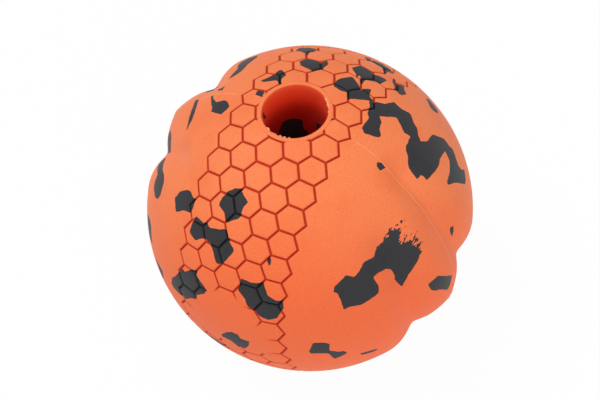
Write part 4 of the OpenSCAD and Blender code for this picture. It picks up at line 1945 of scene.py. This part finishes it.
# The outlines of the chips that the photograph shows, front half first, as lon and lat in degrees
SEEN_OUTLINES: list[Outline] = [
    [(68.5, 41), (67, 43.5), (66.5, 47), (60.5, 53), (56, 52.5), (51, 49.5), (49, 51), (46.5, 55),
     (47.5, 58), (51, 60), (55, 60.5), (63, 64.5), (62, 65), (50, 65), (39, 65.5), (29, 64.5),
     (27, 62), (27.5, 59.5), (24.5, 58.5), (29.5, 56.5), (29, 55), (27.5, 54), (22.5, 52.5),
     (25.5, 49.5), (28, 50.5), (30, 49.5), (32.5, 49.5), (35, 48), (40.5, 48), (43.5, 44.5),
     (50.5, 43), (51.5, 42), (51, 39.5), (57, 36.5), (59.5, 36.5), (60, 38), (63, 39.5)],
    [(-1.5, -38), (3, -35), (7, -31.5), (9.5, -30.5), (10, -25), (8, -24), (6, -23.5), (4, -25.5),
     (3.5, -27.5), (4.5, -31), (2.5, -34), (-1, -36.5)],
    [(-0.5, 37.5), (-1, 37), (0, 35), (1.5, 33.5), (3, 34), (3.5, 36)],
    [(45.5, -5), (42, -0.5), (38, -0.5), (36, 0.5), (33.5, -3), (32.5, -3), (33.5, -6), (36, -8.5),
     (39.5, -9.5), (41, -9.5), (42.5, -6.5)],
    [(60, -2.5), (58, -1.5), (54, 0.5), (53, 0.5), (51.5, -1), (47.5, -4.5), (48.5, -6.5),
     (49.5, -10.5), (48, -12), (49, -13.5), (48, -17), (49.5, -18), (55, -18.5), (56.5, -15),
     (54.5, -12.5), (54, -11), (56, -7.5), (60.5, -5)],
    [(45, -19.5), (43, -19.5), (42.5, -21), (41, -23), (41, -24.5), (43, -28), (46.5, -30),
     (51.5, -27.5), (49, -24), (48, -20)],
    [(62, 5), (67, 4.5), (70, 7.5), (72.5, 8.5), (74, 10.5), (76, 14), (76.5, 16), (75, 19),
     (69.5, 21), (66.5, 20.5), (67, 18), (65.5, 15), (61, 13), (62.5, 9)],
    [(54, 14), (51.5, 14), (51, 13), (52.5, 12.5), (54, 13.5)],
    [(73, -7.5), (69.5, -12.5), (68, -12), (68, -14.5), (71.5, -18), (71, -19.5), (77.5, -23),
     (81, -25.5), (85, -26.5), (87, -25.5), (86, -18), (83, -15.5), (81, -12.5), (78.5, -12),
     (75.5, -8.5)],
    [(94.5, -3), (96, -3), (96, 0.5), (99, 3), (98.5, 5.5), (95.5, 7.5), (91.5, 8.5), (91.5, 5),
     (89.5, 4.5), (89, 2), (91, -0.5)],
    [(101, 41.5), (98.5, 40.5), (98, 39), (95.5, 36), (90, 36.5), (88.5, 35), (88, 31), (94, 29),
     (96, 29.5), (97, 34), (98, 35.5), (104.5, 36.5), (102.5, 40.5)],
    [(105, -3), (108.5, -6), (108, -11), (104.5, -12), (103.5, -7)],
    [(107.5, 45), (108, 46.5), (109.5, 49), (111.5, 51), (114, 50.5), (113, 48), (110.5, 45.5)],
    [(51, 77.5), (63.5, 74.5), (77, 76.5), (85, 78), (93.5, 80.5), (138, 82), (145.5, 85),
     (156, 87), (60, 83)],
    [(53.5, -41.5), (50.5, -40), (44.5, -40), (42, -42), (40, -48), (35.5, -54.5), (36.5, -57.5),
     (42, -59), (44.5, -49), (51.5, -48.5), (54.5, -44)],
    [(80.5, -42.5), (70, -44.5), (69.5, -49), (73, -53), (82.5, -50), (81.5, -44.5)],
    [(85.5, -33), (86, -40), (97, -36), (91, -33.5)],
    [(-18, 5), (-16, 6), (-15.5, 9), (-16.5, 11), (-14, 13), (-15.5, 14.5), (-19, 18.5), (-17, 20),
     (-13.5, 21), (-12, 22.5), (-6.5, 22.5), (-5, 24.5), (-7.5, 29), (-9, 29.5), (-11, 27.5),
     (-14.5, 26.5), (-16, 24.5), (-17.5, 26), (-22, 29), (-19, 34.5), (-20.5, 37), (-14.5, 38),
     (-13, 39), (-12, 41), (-10, 42.5), (-9, 44), (-9, 49.5), (-12, 49), (-13, 50), (-13, 52),
     (-27, 51), (-30, 49.5), (-39, 48), (-39.5, 51.5), (-35.5, 55), (-28, 57.5), (-28, 58.5),
     (-39, 59.5), (-57.5, 60.5), (-60.5, 58.5), (-61, 55), (-54, 55.5), (-50, 54), (-49.5, 48),
     (-46.5, 47), (-44, 44), (-35, 41), (-28, 42), (-24, 40.5), (-25, 38.5), (-27.5, 36.5),
     (-28, 34.5), (-30.5, 31), (-28, 28), (-28, 24.5), (-23, 23), (-20.5, 20), (-21, 17.5),
     (-25, 16), (-24, 15), (-22, 13.5), (-25.5, 8), (-21, 5.5)],
    [(-38.5, 24.5), (-40.5, 22.5), (-43, 21), (-40.5, 19.5), (-42.5, 16.5), (-39, 17.5),
     (-37, 19.5), (-35.5, 20.5), (-34.5, 23), (-35.5, 24)],
    [(-37, 16.5), (-36, 13.5), (-35, 12.5), (-36.5, 9.5), (-36, 6), (-30.5, 5), (-27, 9),
     (-28.5, 9.5), (-24.5, 12.5), (-28, 12), (-32, 16.5)],
    [(-23, -11.5), (-20.5, -9.5), (-19.5, -5), (-21.5, -2), (-26.5, -2), (-29, -4), (-26.5, -4.5),
     (-27, -10)],
    [(-8, -18.5), (-7.5, -17), (-9.5, -12.5), (-8.5, -11), (-7, -11), (-8, -10), (-10.5, -11.5),
     (-13.5, -11), (-15.5, -14), (-15.5, -15), (-11, -16)],
    [(-0.5, -13), (-3.5, -14), (-3.5, -16.5), (-1, -16.5)],
    [(-46.5, 2), (-44.5, 3.5), (-44.5, 11), (-41.5, 13.5), (-44.5, 13), (-46, 14.5), (-48.5, 14),
     (-50.5, 7.5), (-47.5, 5), (-49, 2.5)],
    [(-34, -18.5), (-32.5, -18), (-32, -13.5), (-29, -11.5), (-32.5, -12.5), (-37.5, -11.5),
     (-38.5, -15.5), (-37.5, -18.5)],
    [(-54, 34), (-57.5, 32.5), (-56.5, 27), (-53, 27.5), (-49.5, 31.5), (-51, 33.5)],
    [(-29.5, 74.5), (-27.5, 75), (-30, 76.5), (-38, 78.5), (-43, 79.5), (-38.5, 76.5), (-34, 74.5)],
    [(-9.5, -34), (-11, -32), (-14.5, -30.5), (-18.5, -31), (-27.5, -31), (-31, -33), (-30, -36),
     (-26, -37.5), (-22, -37), (-18, -34.5), (-13.5, -34.5)],
    [(-1, -45), (-1, -47.5), (6, -43.5), (11, -41.5), (19.5, -39), (14, -38.5), (10, -39.5),
     (6.5, -41)],
    [(17, -59), (19.5, -56), (23, -54), (27, -55), (31.5, -55), (33, -60), (30.5, -62.5), (27, -64),
     (20, -63.5)],
    [(-9, -46.5), (-10.5, -51), (-14, -51.5), (-18, -53.5), (-24, -52), (-20, -48.5), (-15, -48.5),
     (-12, -46)],
    [(-2, -32), (-4.5, -32.5), (-3.5, -34), (-4, -36), (-2, -34.5)],
]
# The numbers of the chips whose outline is frayed
FRAYED_CHIPS: tuple[int, ...] = (1,)
# The chips of the far side: the place in the list above of the chip that each repeats, how far it
# is turned on in lon, and 1, or -1 where its lat is mirrored
FAR_PLACES: tuple[tuple[int, int, int], ...] = (
    (4, 90, -1), (5, 115, -1), (0, 100, -1), (6, 55, -1), (15, 70, -1), (9, 72, 1),
    (17, -100, -1), (8, -160, -1), (4, -140, 1), (10, -215, 1), (3, -180, -1), (14, -130, 1),
    (6, -240, 1), (5, -190, -1), (0, -195, 1),
)
# The black flecks in the throat's wall, as angles round the hole's axis and heights in millimetres
THROAT_FLECKS: list[Outline] = [
    [(164, 23), (158, 25.5), (150, 26.5), (132, 26.5), (122, 26), (116, 25), (117, 22), (109, 21),
     (109, 20), (113, 19), (150, 19)],
    [(90, 25.5), (79, 25), (82, 24), (90, 22), (92, 23.5)],
    [(-162, 37.5), (-171, 34), (-165, 34), (-157, 36.5)],
]
# Where the mouth has flash, as angles round the hole's axis
MOUTH_FLASH: tuple[tuple[int, int], ...] = ((-120, -65), (20, 60))


@dataclass
class Ball:
    """The whole ball: two half shells, their chips, the parting line and the throat."""

    skin: Skin = field(default_factory=Skin)
    hollow: Hollow = field(default_factory=Hollow)

    def outlines(self) -> dict[int, ChipOutline]:
        """The outline of every chip.

        Returns:
            The outlines by the chips' numbers, from 1.
        """
        places = list(SEEN_OUTLINES)
        for source, turn, hand in FAR_PLACES:
            places.append([(lon + turn, hand * lat) for lon, lat in SEEN_OUTLINES[source]])
        return {
            k: ChipOutline(corners, Edge.FRAYED if k in FRAYED_CHIPS else Edge.CLEAN)
            for k, corners in enumerate(places, 1)
        }

    def half_ball(
        self, half: Half, node: str, orange: bpy.types.Material, black: bpy.types.Material
    ) -> None:
        """Makes one half shell and its chips.

        Args:
            half: The half of the ball.
            node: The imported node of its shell.
            orange: The finish of the shell.
            black: The finish of the chips.
        """
        outlines = {k: outline for k, outline in self.outlines().items() if outline.half is half}
        builder = ShellBuilder(half, self.skin, self.hollow)
        sheet = builder.prepare(outlines)
        shell = solid(f"dressed_{node}", builder.shell(sheet, list(outlines)), orange)
        seat(shell, "orange_rubber", node)
        for k in outlines:
            chip = solid(f"flush_chip_{k:02d}", builder.chip(sheet, k), black)
            seat(chip, "black_rubber", f"black_chip_{k:02d}")

    def build(self) -> None:
        """Makes every piece."""
        orange, black, flash = ORANGE.build(), BLACK.build(), FLASH_HIGHLIGHT.build()
        for half, node in ((Half.FRONT, "front_half_shell"), (Half.REAR, "rear_half_shell")):
            self.half_ball(half, node, orange, black)
        for side in (1, -1):
            PartingLine(side, self.skin).make(flash)
        Throat(self.hollow).build(orange, black, flash)


def main() -> None:
    """Loads the frame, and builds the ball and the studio."""
    logging.basicConfig(level=logging.INFO, format="%(name)s: %(message)s")
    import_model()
    Studio().build()
    Ball().build()


if __name__ == "__main__":
    main()
